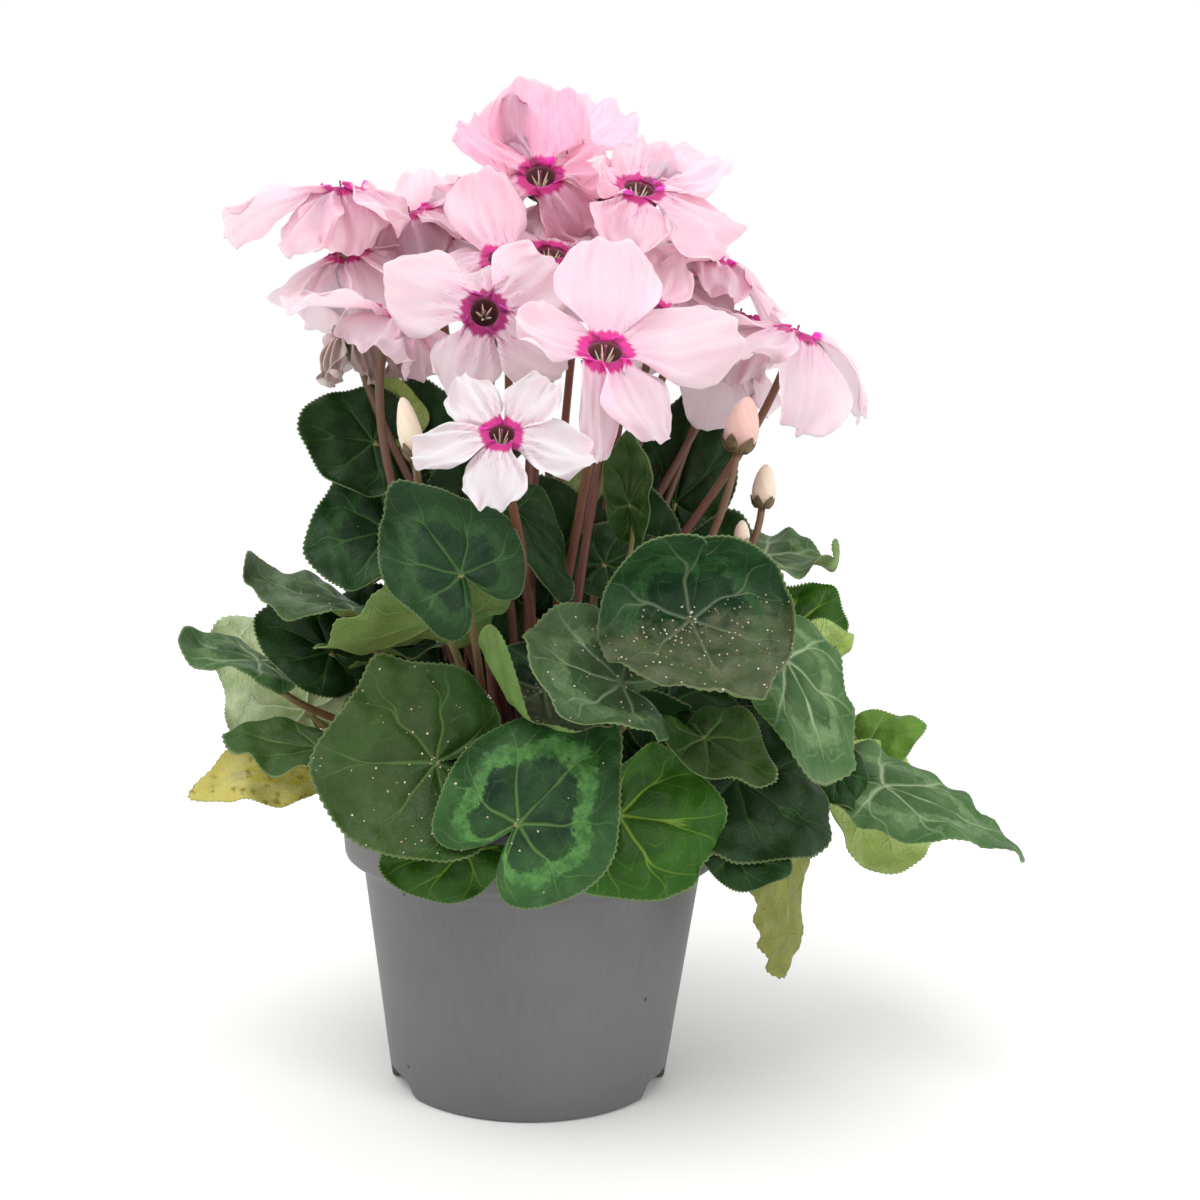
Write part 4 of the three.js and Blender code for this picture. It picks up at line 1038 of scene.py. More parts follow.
# %% The underside of a blade
def blade_under(name, flesh, vein):
    """Matt pale underside with proud veins."""
    material = new_material(name, Roughness=0.6, Specular_IOR_Level=0.35, Subsurface_Weight=0.05)
    add = partial(add_node, material)
    _, flat, _, main, side, cell = vein_masks(material)
    cloud = add("TexNoise", {"Vector": flat, "Scale": 0.15, "Detail": 4.0})
    tone = add("MapRange", {"Value": cloud, "From Min": 0.3, "From Max": 0.7})
    ground = add("Mix", {0: tone, 6: linear(flesh), 7: linear(vein)}, **COLOUR)
    half = add("Mix", {0: 0.65, 6: linear(flesh), 7: ground}, **COLOUR)
    fine = add("Math", {0: side, 1: 0.5}, operation="MULTIPLY")
    both = add("Math", {0: main, 1: fine}, operation="MAXIMUM")
    veined = add("Mix", {0: both, 6: half, 7: linear(vein)}, **COLOUR)
    relief = add("Math", {0: cell, 1: 0.2, 2: both}, operation="MULTIPLY_ADD")
    bump = add("Bump", {"Height": relief, "Strength": 0.9, "Distance": 0.0005})
    return finish_material(material, Base_Color=veined, Normal=bump)

# %% [markdown]
# One plant carries leaves of many kinds, from blackish green through lime to a dying yellow one.
# They are all the same finish with other colours: heart, outer zone, band and veins, and then how
# strong the band and the veins are, and how much dust, whose grey also paints sheen, and how many
# spots there are.

# %% The plant's own leaf finishes
UPPER_SKINS = {
    # On the plain, silvery and dusty finishes the last number is dust, whose grey also paints sheen.
    "marbled": blade_upper("waxy_leaf_marbled", "#0d2a18", "#254a22", "#5a9049", "#77a05a", 0.9, 0.5),
    "veiled": blade_upper("waxy_leaf_veiled", "#12301a", "#1f3f1d", "#3d6636", "#5c854a", 0.4, 0.5),
    "plain": blade_upper("waxy_leaf_plain", "#294915", "#2c4f18", "#466c2c", "#6a8f49", 0.15, 0.6, 0.25),
    "dark": blade_upper("waxy_leaf_dark", "#152f0e", "#1a3912", "#2d5322", "#507a3f", 0.2, 0.45),
    "bright": blade_upper("waxy_leaf_bright", "#24490e", "#29540e", "#447822", "#8aaa40", 0.08, 0.6),
    "lime": blade_upper("waxy_leaf_young_lime", "#5b8a2c", "#6d9a38", "#95b65c", "#b5cc7c", 0.1, 0.5),
    "silvery": blade_upper("waxy_leaf_silvery", "#2a4a24", "#38582c", "#7b9a6e", "#97b086",
                           0.5, 0.75, 0.12),
    "dusty": blade_upper("waxy_leaf_dusty", "#12301a", "#1f4020", "#3d6a3a", "#8c9b7a", 0.6, 0.55, 0.85),
    # The striped finish is a pale grey-green that partly paints the sheen of the leaves wearing it.
    "striped": blade_upper("waxy_leaf_striped", "#3a6030", "#446b39", "#8aa874", "#abc296", 0.5, 0.88),
    "olive": blade_upper("waxy_leaf_olive", "#5a6420", "#68722a", "#838a42", "#989b55", 0.2),
    "pale": blade_upper("waxy_leaf_pale", "#5f8545", "#76955a", "#9fb680", "#bdca9c", 0.3),
    "yellow": blade_upper("waxy_leaf_yellowed", "#cabd48", "#d6ca66", "#e2dc9c", "#ebe7c4",
                          0.4, 0.4, spots=0.7),
}
UNDER_SKINS = {
    "green": blade_under("matt_leaf_underside", "#4f7230", "#7c9852"),
    "olive": blade_under("matt_leaf_olive_underside", "#656c24", "#868a3e"),
    "pale": blade_under("matt_leaf_pale_underside", "#8ea86c", "#d2dcb8"),
    "lime": blade_under("matt_leaf_lime_underside", "#93b04a", "#bccf86"),
    "yellow": blade_under("matt_leaf_yellow_underside", "#c9bb6a", "#ddd49a"),
}
print(len(UPPER_SKINS), "upper and", len(UNDER_SKINS), "under skins")

# %% [markdown]
# ## Growing the leaves
#
# Each row of the plan now becomes a leaf: a copy of the flat leaf whose blade is shaped and whose
# stalk is bent, as one piece, because they grow as one.

# %% Growing the leaves
def keep_values(piece, name, values, where=slice(None)):
    """Keeps three numbers for each point, for a material to read: 0 outside where."""
    rows = np.zeros((len(piece.data.vertices), 3), np.float32)
    rows[where] = values
    layer = piece.data.attributes.new(name, "FLOAT_VECTOR", "POINT")
    layer.data.foreach_set("vector", rows.ravel())


def keep_height(piece, stem, straight):
    """Keeps how far up the stalk each of its points is, as a share."""
    keep_values(piece, "stalk", straight[:, 2:] * (1, 0, 0), stem)


def grow_leaf(leaf, root, stalk_radii, cad_nodes):
    """One leaf with its stalk, at the place that its row gives."""
    points = np.zeros_like(leaf_points)
    blade = leaf_parts == 0
    stem = leaf_parts == 1
    points[blade], veins, flat = shape_blade(leaf, leaf_points[blade])
    at = np.array(leaf["at"], float)
    face = unit(leaf["face"])
    arrival = face * 0.6 + unit(np.array(leaf["tip"]) - at) * 0.6 + (0, 0, 0.5)
    bow = np.array(leaf["bow"], float)
    straight = leaf_points[stem]
    points[stem] = bent_stalk(straight, root, at - face * 0.5, arrival, bow, stalk_radii)
    piece = copy_of(flat_leaf, leaf["name"] + "_leaf")
    set_points(piece, points * MM)
    keep_values(piece, "veins", veins, blade)
    keep_values(piece, "flat", flat, blade)
    keep_height(piece, stem, straight)
    piece.data.materials[UPPER] = UPPER_SKINS[leaf["skin"]]
    piece.data.materials[UNDER] = UNDER_SKINS.get(leaf["skin"], UNDER_SKINS["green"])
    piece.data.materials[SKIN] = LEAF_STALK
    return finish_piece(piece, leaf["name"] + "_leaf", cad_nodes)


def grow_leaves(leaves, ring_radii, stalk_radii, in_cad=False):
    """All the leaves of a plan, whose stalks stand in rings on the tuber."""
    roots = roots_on_tuber([leaf["at"] for leaf in leaves], ring_radii)
    for i, leaf in enumerate(leaves):
        grow_leaf(leaf, roots[i], stalk_radii, ["leaf_" + leaf["name"]] if in_cad else [])
    print(len(leaves), "leaves grown")


grow_leaves(LEAVES, [21.5, 17], (1.35, 1.1), in_cad=True)

# %% [markdown]
# ## The young leaves between them
#
# A rosette is never made of full-grown leaves alone. Small dark leaves fill the gaps between the
# stalks, and a few light young ones push up through them. They have no solid in the CAD, and ride
# on the same body.

# %% The plan of the young leaves
YOUNG_LEAVES = [
    row("young_narrow", (-7, -32, 176), (8, -40, 150), (0.5, -0.8, 0.3), wide=0.42, bend=15, cup=20,
        wave=1.5, rolls=[(80, 0.25, 3, 100)]),
    row("young_upright", (26, -26, 179), (26, -28, 202), (-0.6, -0.75, 0.2), wide=0.45, cup=40, wave=1,
        skin="plain", rolls=[(-80, 0.25, 3, 80)]),
    row("young_high_left", (-34, 0, 188), (-39, 5, 217), (0.1, -1, 0.1), wide=0.62, cup=15, phase=60),
    row("young_light", (-44, -2, 204), (-53, -6, 215), (0.2, 0.7, -0.5), wide=0.8, cup=20, wave=1,
        skin="lime"),
    row("young_right", (84, -19, 136), (94, -22, 142), (0.3, 0.6, 0.6), wide=1.0, bend=15, cup=20, wave=1,
        skin="lime"),
    row("young_gap", (38, -38, 122), (60, -38, 114), (0.1, -0.85, 0.5), wide=0.9),
    row("young_gap_right", (62, -30, 126), (74, -32, 110), (0.2, -0.9, 0.3), wide=1.0),
    row("young_far_right", (92, -16, 99), (99, -20, 88), (0.2, -0.9, 0.3), wide=0.8, wave=1),
    row("young_low_right", (56, -50, 82), (72, -52, 76), (0.1, -0.9, 0.4), wide=0.7, cup=20, phase=40),
    row("young_behind_left", (-22, -8, 164), (-24, -6, 192), (0.1, -1, 0.1)),
    row("young_behind_centre", (28, 6, 156), (31, 10, 188), (-0.2, -1, 0), wide=0.7, phase=50),
    row("young_behind_low", (-12, -2, 128), (-20, 0, 152), (-0.2, -1, 0.2), wide=0.9, phase=90),
    row("young_behind_right", (52, 0, 146), (58, 4, 176), (0.1, -1, 0.1), wide=0.75, phase=20),
    row("young_left", (-46, 2, 130), (-60, 6, 150), (-0.3, -0.9, 0.3), phase=20),
    row("young_low_centre", (34, -34, 106), (30, -46, 126), (0.1, -0.9, 0.3), phase=20),
    row("young_low_left", (-38, -30, 104), (-52, -38, 122), (-0.2, -0.9, 0.3), phase=20),
]
grow_leaves(YOUNG_LEAVES, [14.5], (0.9, 0.7))

# %% [markdown]
# The far side isn't in the photograph. There the rosette is filled as it would grow, with two rings
# of leaves that droop outwards, at places set by a rule and a fixed seed. In the middle of the back
# the bearing is 90 degrees.

# %% The far side of the rosette
FAR_COUNT = 13
FAR_FROM, FAR_TURN = 22, 136  # the bearing of the first one, and how far round they reach
FAR_RINGS = ((33, 136, 25), (47, 112, 29))  # how far out, how high, and how far a midrib reaches
far_leaves = []
dice = random.Random(5)
for rank in range(FAR_COUNT):
    bearing = math.radians(FAR_FROM + FAR_TURN * rank / (FAR_COUNT - 1) + dice.uniform(-4, 4))
    away, level, size = FAR_RINGS[rank % 2]
    out = np.array([math.cos(bearing), math.sin(bearing), 0])
    at = out * away + (0, 0, level + dice.uniform(-5, 5))
    tip = at + out * size + (dice.uniform(-8, 8), 0, -13)
    far_leaves.append(
        row(f"far_{rank}", at, tip, out * 0.6 + (0, 0, 0.8), wide=dice.uniform(0.8, 0.95), bend=15,
            cup=dice.uniform(-15, 20), phase=dice.uniform(0, 360),
            rolls=[(dice.choice((-70, 70)), 0.6, 6, 50)],
            skin=dice.choice(("plain", "marbled", "veiled", "bright")))
    )
grow_leaves(far_leaves, [19.2], (1.1, 0.9))
bpy.data.objects.remove(flat_leaf)

# %% [markdown]
# ## Sand and crumbs
#
# Potting leaves its traces: pale grains of sand lie on some of the leaves, and crumbs of
# bark and beads of perlite on the soil. A single grain is an icosphere with its points pushed about.
# Each place gets a copy, turned and sized by chance from a fixed seed, and the copies are joined.

# %% Strewing grains
def rough_grain(seed):
    """One grain a millimetre across, of 20 faces."""
    take_up_nothing()
    bpy.ops.mesh.primitive_ico_sphere_add(subdivisions=1, radius=0.5 * MM)
    grain = bpy.context.object
    bpy.ops.object.mode_set(mode="EDIT")
    bpy.ops.mesh.select_all(action="SELECT")
    bpy.ops.transform.vertex_random(offset=0.12 * MM, seed=seed)
    bpy.ops.object.mode_set(mode="OBJECT")
    return grain


def strewn(name, grain, spots, skin, dice):
    """One piece of many grains. A spot is a place in metres, the way up there and a size in mm."""
    copies = []
    for place, way, size in spots:
        copy = copy_of(grain, "grain")
        stand = Vector(way).to_track_quat("Z", "Y").to_matrix().to_4x4()
        spin = Matrix.Rotation(dice.uniform(0, 2 * math.pi), 4, "Z")
        shape = Matrix.Diagonal((size * dice.uniform(0.8, 1.4), size, size * dice.uniform(0.6, 0.9), 1))
        copy.data.transform(Matrix.Translation(place) @ stand @ spin @ shape)
        copies.append(copy)
    take_up(copies[0])
    for copy in copies[1:]:
        copy.select_set(True)
    bpy.ops.object.join()
    piece = copies[0]
    piece.data.materials.clear()
    piece.data.materials.append(skin)
    bpy.data.objects.remove(grain)
    return finish_piece(piece, name, [])


def grain_skin(name, dark, light, scale, roughness):
    """A mineral or bark whose grains differ from each other in tone."""
    material = new_material(name, Roughness=roughness)
    add = partial(add_node, material)
    spot = add("TexCoord", out="Object")
    noise = add("TexNoise", {"Vector": spot, "Scale": scale, "Detail": 2.0})
    tone = add("MapRange", {"Value": noise, "From Min": 0.35, "From Max": 0.65})
    colour = add("Mix", {0: tone, 6: linear(dark), 7: linear(light)}, **COLOUR)
    return finish_material(material, Base_Color=colour)

# %% [markdown]
# Sand stays where a leaf isn't too steep. So on seven leaves the grains are dealt out to faces of
# the green side that look a little upwards, and each grain rests with its lower part in its face.

# %% Sand on the leaves
QUARTZ_SAND = grain_skin("quartz_sand", "#a08a62", "#e6dcc4", 420.0, 0.5)
SANDED = dict(front_left_big=90, mid_right_big=150, centre_bowl=60, mid_variegated=40, left_level=16,
              left_upper_low=14, front_marbled=12)
dice = random.Random(29)
spots = []
for leaf_name, count in SANDED.items():
    blade = bpy.data.objects[leaf_name + "_leaf"].data
    level = [f for f in blade.polygons if f.material_index == UPPER and f.normal.z > 0.22 and f.area > 2e-8]
    for face in dice.sample(level, min(count, len(level))):
        size = dice.uniform(0.3, 0.75)
        spots.append((face.center + face.normal * size * 0.2 * MM, face.normal, size))
sand = strewn("sand_grains", rough_grain(3), spots, QUARTZ_SAND, dice)
print(len(spots), "grains of sand,", len(sand.data.polygons), "faces")

# %% [markdown]
# The soil's top is coarse: crumbs of bark, and white beads of perlite, which is glass blown up by
# heat. They are strewn evenly over the ring of soil between the tuber and the pot's wall.

# %% Crumbs and perlite on the soil
BARK_CRUMB = grain_skin("composted_bark", "#20140e", "#5b4130", 260.0, 0.9)
PERLITE = grain_skin("white_perlite", "#d9d6cd", "#f3f1ea", 300.0, 0.9)
CRUMBS, BEADS = 420, 60


def soil_spots(count, smallest, largest):
    """Places all over the soil's top."""
    spots = []
    for _ in range(count):
        bearing = dice.uniform(0, 2 * math.pi)
        radius = 54 * math.sqrt(dice.uniform(0.27, 1))
        level = np.interp(radius, [26, 29, 38, 50, 56], [78.3, 79, 78.2, 76.8, 76.4])
        place = Vector((radius * math.cos(bearing), radius * math.sin(bearing), level + 0.1)) * MM
        spots.append((place, (0, 0, 1), dice.uniform(smallest, largest)))
    return spots


strewn("bark_crumbs", rough_grain(5), soil_spots(CRUMBS, 1.0, 2.8), BARK_CRUMB, dice)
strewn("perlite_beads", rough_grain(8), soil_spots(BEADS, 1.2, 2.6), PERLITE, dice)
print(CRUMBS + BEADS, "crumbs and beads on the soil")

# %% [markdown]
# ## One petal, flat
#
# A cyclamen flower has five petals on a short tube. They are thin and silky, narrow where they
# leave the tube and broad above, with a ruffled margin and fine lengthwise folds. One petal is a
# plain grid with Solidify, and each petal of the plant is a copy that is bent by its own numbers.

# %% The flat petal
PETAL_ACROSS = 22
PETAL_ALONG = 30
take_up_nothing()
bpy.ops.mesh.primitive_grid_add(x_subdivisions=PETAL_ACROSS, y_subdivisions=PETAL_ALONG, size=2)
flat_petal = bpy.context.object
flat_petal.name = "flat_petal"
SILK, TUBE, SEPAL, ANTHER, STYLE, STEM = range(6)
two_faced(slotted(flat_petal, SILK))
print("petal:", len(flat_petal.data.polygons), "faces")

# %% [markdown]
# The tube is a small cup, lathed. Five sepals clasp it from behind, and in its mouth stand five
# pointed anthers round a thin style. An anther is a slim cone from the lathe too. The five are set
# in a ring and lean outwards, so that they open as a star.

# %% The tube, the anthers and the style
THROAT = 5.4
tube_section = [(0, -8.4), (1.7, -8.35), (2.9, -7.8), (4.1, -6.3), (4.9, -4.2), (5.1, -2.0), (5.1, -0.6),
                (4.9, -0.3), (4.6, -0.4), (4.3, -1.2), (4.0, -3.0), (3.3, -5.0), (2.1, -6.1), (0, -6.4)]
tube = slotted(lathe("flower_tube", tube_section, 30), TUBE)
anther_section = [(0, 0), (0.38, 0.1), (0.42, 1.6), (0.34, 3.6), (0.2, 5.2), (0.06, 6.4), (0, 6.5)]
anther_ring = []
for rank in range(5):
    anther = slotted(lathe("anther", anther_section, 8), ANTHER)
    lean = Matrix.Rotation(math.radians(20), 4, "Y")
    place = Matrix.Translation((0.5 * MM, 0, -5.8 * MM))
    around = Matrix.Rotation(2 * math.pi * (rank + 0.5) / 5, 4, "Z")
    anther.data.transform(around @ place @ lean)
    anther_ring.append(anther)
style_section = [(0, -6.4), (0.35, -6.4), (0.3, -2), (0.28, 1.2), (0.4, 1.7), (0.25, 2.0), (0, 2.05)]
style = slotted(lathe("style", style_section, 8), STYLE)

sepals = [slotted(copy_of(flat_petal, "sepal"), SEPAL) for _ in range(5)]
petals = [flat_petal] + [copy_of(flat_petal, "petal") for _ in range(4)]
stem = slotted(copy_of(straight_stalk, "stem"), STEM)
flat_flower = joined(*petals, tube, *anther_ring, style, *sepals, stem)
flat_flower.name = "flat_flower"
flower_parts = parts_of(flat_flower)
flower_points = points_of(flat_flower)
HEART_PARTS = range(5, 12)
SEPAL_PARTS = range(12, 17)
STEM_PART = 17
print("flower:", len(flower_points), "points in", flower_parts.max() + 1, "parts")

# %% [markdown]
# ## Where each flower stands
#
# mouth is the middle of the ring that the petals spread from and faces the way it looks. Each petal
# has its bearing round the mouth, clockwise from the top, its length and width, how far it rises
# out of the mouth's plane at its root and at its tip, and a twist. tint runs from 0, nearly white,
# to 1, clear rose: a flower bleaches as it ages. eye is the size of the magenta eye, purple how
# purple it has turned, folds how deeply the petals are pleated, and full how broad they are.

# %% The plan of the flowers
USUAL_FLOWER = dict(bow=(0, 0, 0), tint=0.4, eye=1.0, purple=0.2, folds=1.0, full=1.26)


def bloom(name, mouth, faces, petals, **unusual):
    """One flower of the plan: its name, where it stands, its petals and what is unusual about it."""
    return {**USUAL_FLOWER, "name": name, "mouth": mouth, "faces": faces, "petals": petals, **unusual}


FLOWERS = [
    bloom("front", (16, -72, 218), (0.05, -0.7, 0.72), tint=0.52, purple=0.0, folds=1.5,
          petals=[(3, 31, 22, 15, 35, 0), (75, 33, 22, 0, 5, -28), (148, 25, 16, -20, -30, 10),
                  (186, 27, 9, -30, -40, 30), (285, 20, 16, 10, 25, 0)]),
    bloom("mid_left", (-16, -58, 229), (0.06, -0.98, 0.1), tint=0.36, eye=0.86, purple=0.9, folds=1.8,
          petals=[(288, 25, 19, -5, -15, 10), (48, 22, 19, -10, -15, 0), (118, 23, 18, -10, -30, 0),
                  (196, 21, 15, -15, -30, 0), (345, 16, 17, -30, -60, 0)]),
    bloom("low_white", (-10, -88, 195), (0.05, -0.8, 0.6), bow=(6, 6, 5), tint=0.05, eye=0.74, purple=0.3,
          folds=1.8, full=1.02,
          petals=[(256, 20, 13, 0, -20, 0), (325, 16, 15, 5, 15, 0), (36, 18, 14, 5, 15, 0),
                  (98, 21, 18, 0, -15, 0), (190, 18, 16, -5, -15, 0)]),
    bloom("upper_right", (27, -22, 271), (0.12, -0.66, 0.75), tint=0.55, purple=0.6, folds=2.4,
          petals=[(55, 30, 20, 0, 10, 0), (113, 28, 24, -10, -25, 0), (195, 18, 20, -20, -45, 0),
                  (272, 12, 11, 15, 60, 0), (14, 19, 17, 5, 25, 0)]),
    bloom("top", (-2, -3, 278), (-0.02, -0.85, 0.55), bow=(0, -6, 0), tint=1.0, purple=0.3, folds=3.6,
          petals=[(0, 27, 26, 20, 30, 0), (312, 26, 22, 10, 15, 0), (72, 18, 16, 0, 20, 0),
                  (130, 19, 18, -25, -50, 0), (252, 22, 18, -15, -35, 0)]),
    bloom("left_high", (-62, -6, 272), (-0.05, -0.2, 0.98), tint=0.64, folds=2.6,
          petals=[(258, 33, 20, -15, -35, -30), (212, 26, 18, -35, -60, 0), (168, 21, 20, -55, -80, 0),
                  (105, 20, 18, -20, -50, 0), (20, 22, 18, -10, -30, 0)]),
    bloom("left_low", (-43, -26, 232), (0.35, -0.12, 0.92), bow=(6, -8, 0), tint=0.55, folds=2.4,
          petals=[(270, 31, 16, -5, -25, -25), (222, 20, 19, -25, -45, 0), (150, 18, 18, -45, -75, 0),
                  (95, 20, 18, -25, -50, 0), (10, 20, 16, 0, -20, 0)]),
    bloom("right_low", (76, -14, 232), (0.28, -0.14, 0.94), tint=0.54, folds=2,
          petals=[(180, 31, 24, -55, -80, 0), (88, 40, 16, 5, -65, 0), (255, 22, 16, -25, -45, 0),
                  (40, 24, 16, 0, -25, 0), (320, 22, 16, -10, -30, 0)]),
    bloom("right_high", (53, 1, 255), (0.35, -0.05, 0.93), bow=(-3, -9, 10), tint=0.6, folds=2.2,
          petals=[(84, 36, 21, 0, -14, -25), (140, 24, 18, -25, -45, 0), (268, 22, 18, -20, -30, 0),
                  (210, 20, 17, -30, -50, 0), (5, 20, 16, 0, -20, 0)]),
    bloom("behind_mid", (-12, -28, 248), (0.12, -0.62, 0.78), bow=(0, -3, 0), tint=0.55, folds=1.6,
          petals=[(345, 28, 20, 20, 35, 0), (275, 20, 16, -20, -45, 0), (75, 22, 18, -15, -40, 0),
                  (135, 16, 14, -40, -65, 0), (215, 16, 14, -40, -65, 0)]),
    bloom("behind_top", (6, 22, 290), (0.15, -0.5, 0.85), bow=(3, -9, -5), tint=1.0, folds=2.2,
          petals=[(33, 35, 21, 15, 22, 0), (335, 22, 17, 20, 35, 0), (98, 20, 17, -15, -45, 0),
                  (275, 18, 15, -10, -40, 0), (200, 16, 15, -40, -65, 0)]),
    bloom("left_back", (-43, 13, 269), (-0.25, -0.25, 0.93), bow=(4, -4, 0), tint=0.6, folds=2.4,
          petals=[(50, 20, 17, 5, 20, 0), (102, 25, 18, -15, -45, 0), (165, 22, 19, -45, -85, 0),
                  (280, 22, 16, -10, -35, 0), (345, 22, 17, -5, -25, 0)]),
    bloom("left_inner", (-57, 26, 257), (-0.25, -0.3, 0.92), folds=2,
          petals=[(262, 22, 17, -25, -45, 0), (190, 20, 18, -40, -65, 0), (115, 18, 17, -20, -55, 0),
                  (40, 18, 16, -10, -30, 0), (325, 18, 16, -10, -30, 0)]),
    bloom("right_inner", (31, -36, 234), (0.3, -0.5, 0.8), bow=(-3, -3, 0), tint=0.45, folds=1.6,
          petals=[(300, 16, 14, 0, 0, 0), (20, 20, 17, 20, 30, 0), (90, 18, 16, -10, -25, 0),
                  (155, 15, 14, -35, -60, 0), (225, 15, 14, -40, -60, 0)]),
    bloom("right_back", (63, 18, 241), (0.2, -0.1, 0.97), bow=(-3, 0, 0), folds=2,
          petals=[(212, 27, 17, -40, -80, 0), (95, 20, 16, -20, -60, 0), (262, 24, 17, -20, -55, 0),
                  (165, 22, 16, -60, -88, 0), (10, 20, 16, 0, -30, 0)]),
    bloom("wilted", (-56, -12, 229), (-0.1, -0.1, 0.98), bow=(6, -3, 5), tint=0.0, folds=4.5,
          petals=[(0, 15, 8, -50, -88, 0), (75, 16, 8, -50, -88, 0), (145, 17, 8, -50, -88, 0),
                  (215, 17, 8, -50, -88, 0), (290, 15, 8, -50, -88, 0)]),
]
print(len(FLOWERS), "flowers in the plan")

# %% [markdown]
# ## Shaping a petal
#
# The petal's middle line bends from its root to its tip. Across it the sheet is folded lengthwise,
# rolls a little at its sides, and ruffles more and more towards the margin.

# %% From the flat petal to a petal of its own
def smooth(value, low, high):
    """0 below low, 1 above high, and a smooth step between."""
    x = np.clip((value - low) / (high - low), 0, 1)
    return x * x * (3 - 2 * x)


def gap_to_neighbours(petals, number):
    """The wider of the two gaps beside a petal, as a share of an even fifth."""
    bearing = petals[number][0]
    turns = [(other[0] - bearing) % 360 for i, other in enumerate(petals) if i != number]
    return max(min(turns), 360 - max(turns)) / 72


def shape_petal(flower, number, flat, dice):
    """The petal's points in mm in the mouth's own axes, with what its material needs."""
    bearing, length, width, root_rise, tip_rise, twist = flower["petals"][number]
    eye, folds, full = flower["eye"], flower["folds"], flower["full"]
    gap = gap_to_neighbours(flower["petals"], number)
    bearing, root_rise, tip_rise, twist = np.radians([bearing, root_rise, tip_rise, twist])
    outward = np.array([math.sin(bearing), math.cos(bearing), 0])
    sideways = np.array([outward[1], -outward[0], 0])
    axis = np.array([0, 0, 1])
    t = flat[:, 0]
    s = (flat[:, 1] + 1) / 2
    side = np.sign(flat[:, 2])
    # A round tip, a shallow dent in it and an uneven margin.
    dent = 0.02 * np.exp(-(((t - dice.uniform(-0.3, 0.3)) / 0.16) ** 2))
    uneven = 0.022 * np.sin(4 * t + dice.uniform(0, 6))
    uneven = uneven + 0.009 * folds * np.sin(9 * t + dice.uniform(0, 6))
    uneven = uneven + 0.006 * folds * np.sin(17 * t + dice.uniform(0, 6))
    run = s * (1 - 0.25 * np.abs(t) ** 2.5 - dent * s**3 + uneven * s**3)
    root = 6.2 * full * eye * min(1.6, max(1, gap))
    breadth = root + (full * width - root) * smooth(s, 0.03, 0.55)
    breadth = breadth * (1 - 0.16 * smooth(s, 0.7, 1)) * (1 + 0.05 * np.sin(6 * s + dice.uniform(0, 6)))
    # The middle line wanders a little to one side, and the sides are never quite alike.
    sway = dice.uniform(-1.4, 1.4) * np.sin(2.6 * s) * s
    across = (t + 0.06 * dice.uniform(-1, 1) * (1 - t**2)) * breadth / 2 + sway
    mean = root_rise + (tip_rise - root_rise) * run / 2
    rise = root_rise + (tip_rise - root_rise) * run
    reach = run * length
    ring = THROAT * eye - 0.8
    # The root follows the round mouth instead of cutting straight across it.
    rounded = ring - np.sqrt(np.maximum(ring**2 - across**2, 0.3 * ring**2))
    start = ring - rounded * (1 - smooth(s, 0, 0.14))
    middle = outward * (start + reach * np.cos(mean))[:, None]
    middle = middle + axis * (reach * np.sin(mean))[:, None]
    upper = -outward * np.sin(rise)[:, None] + axis * np.cos(rise)[:, None]
    lean = (twist * run)[:, None]
    flat_way = sideways * np.cos(lean) + upper * np.sin(lean)
    proud_way = upper * np.cos(lean) - sideways * np.sin(lean)
    long_wave = np.sin(3.2 * t + 2.6 * s + dice.uniform(0, 6))
    long_wave = long_wave + 0.6 * np.sin(6.2 * t - 3.5 * s + dice.uniform(0, 6))
    ruffle = 0.1 * width * smooth(s, 0.15, 1) * long_wave
    short_wave = np.sin(6 * s + 9 * t + dice.uniform(0, 6))
    short_wave = short_wave + 0.6 * np.sin(8 * s - 14 * t + dice.uniform(0, 6))
    frill = 0.5 * folds * smooth(np.maximum(np.abs(t), s), 0.6, 1) * short_wave
    channel = dice.uniform(-0.16, 0.12) * width * t**2 * smooth(s, 0.05, 0.5)
    crease = -0.5 * np.exp(-((t / 0.1) ** 2)) * smooth(s, 0.0, 0.3) * (1 - 0.8 * s)
    # Lengthwise folds, uneven in width, that open out towards the tip.
    fan = 11 * t + 1.4 * np.sin(3 * t + dice.uniform(0, 6)) + 1.2 * s + dice.uniform(0, 6)
    pleats = 0.32 * folds * np.sin(fan) * smooth(s, 0.05, 0.3) * (1 - 0.55 * smooth(s, 0.55, 1))
    thickness = 0.42 - 0.2 * s
    height = ruffle + frill + channel + crease + pleats + side * thickness / 2
    points = middle + flat_way * across[:, None] + proud_way * height[:, None]
    from_mouth = np.hypot(across, start + reach) - ring
    return points, np.stack([across, from_mouth / eye, s], axis=1)


def shape_sepal(rank, flat):
    """A pointed sepal that clasps the tube."""
    t = flat[:, 0]
    s = (flat[:, 1] + 1) / 2
    side = np.sign(flat[:, 2])
    z = -8.5 + 6.6 * s
    radius = np.interp(z, [-8.5, -7.8, -6.3, -4.2, -1.5], [1.9, 3.1, 4.4, 5.3, 5.75]) + 0.3 + 0.5 * s**3
    half_angle = math.radians(37) * (1 - s**2.2) + 0.03
    bearing = 2 * math.pi * (rank + 0.5) / 5 + t * half_angle
    radius = radius + 0.2 * side - 0.25 * np.abs(t)
    return np.stack([radius * np.sin(bearing), radius * np.cos(bearing), z + 0.1 * side], axis=1)

# %% [markdown]
# ## The finish of a petal
#
# A petal is a thin silky skin over watery cells, so light comes through it and it has a soft bloom.
# Where it leaves the tube it carries the magenta eye, whose edge is torn into rays that run on as
# fine lines between the pleats. Away from it the petal is pale, with slightly deeper veins.

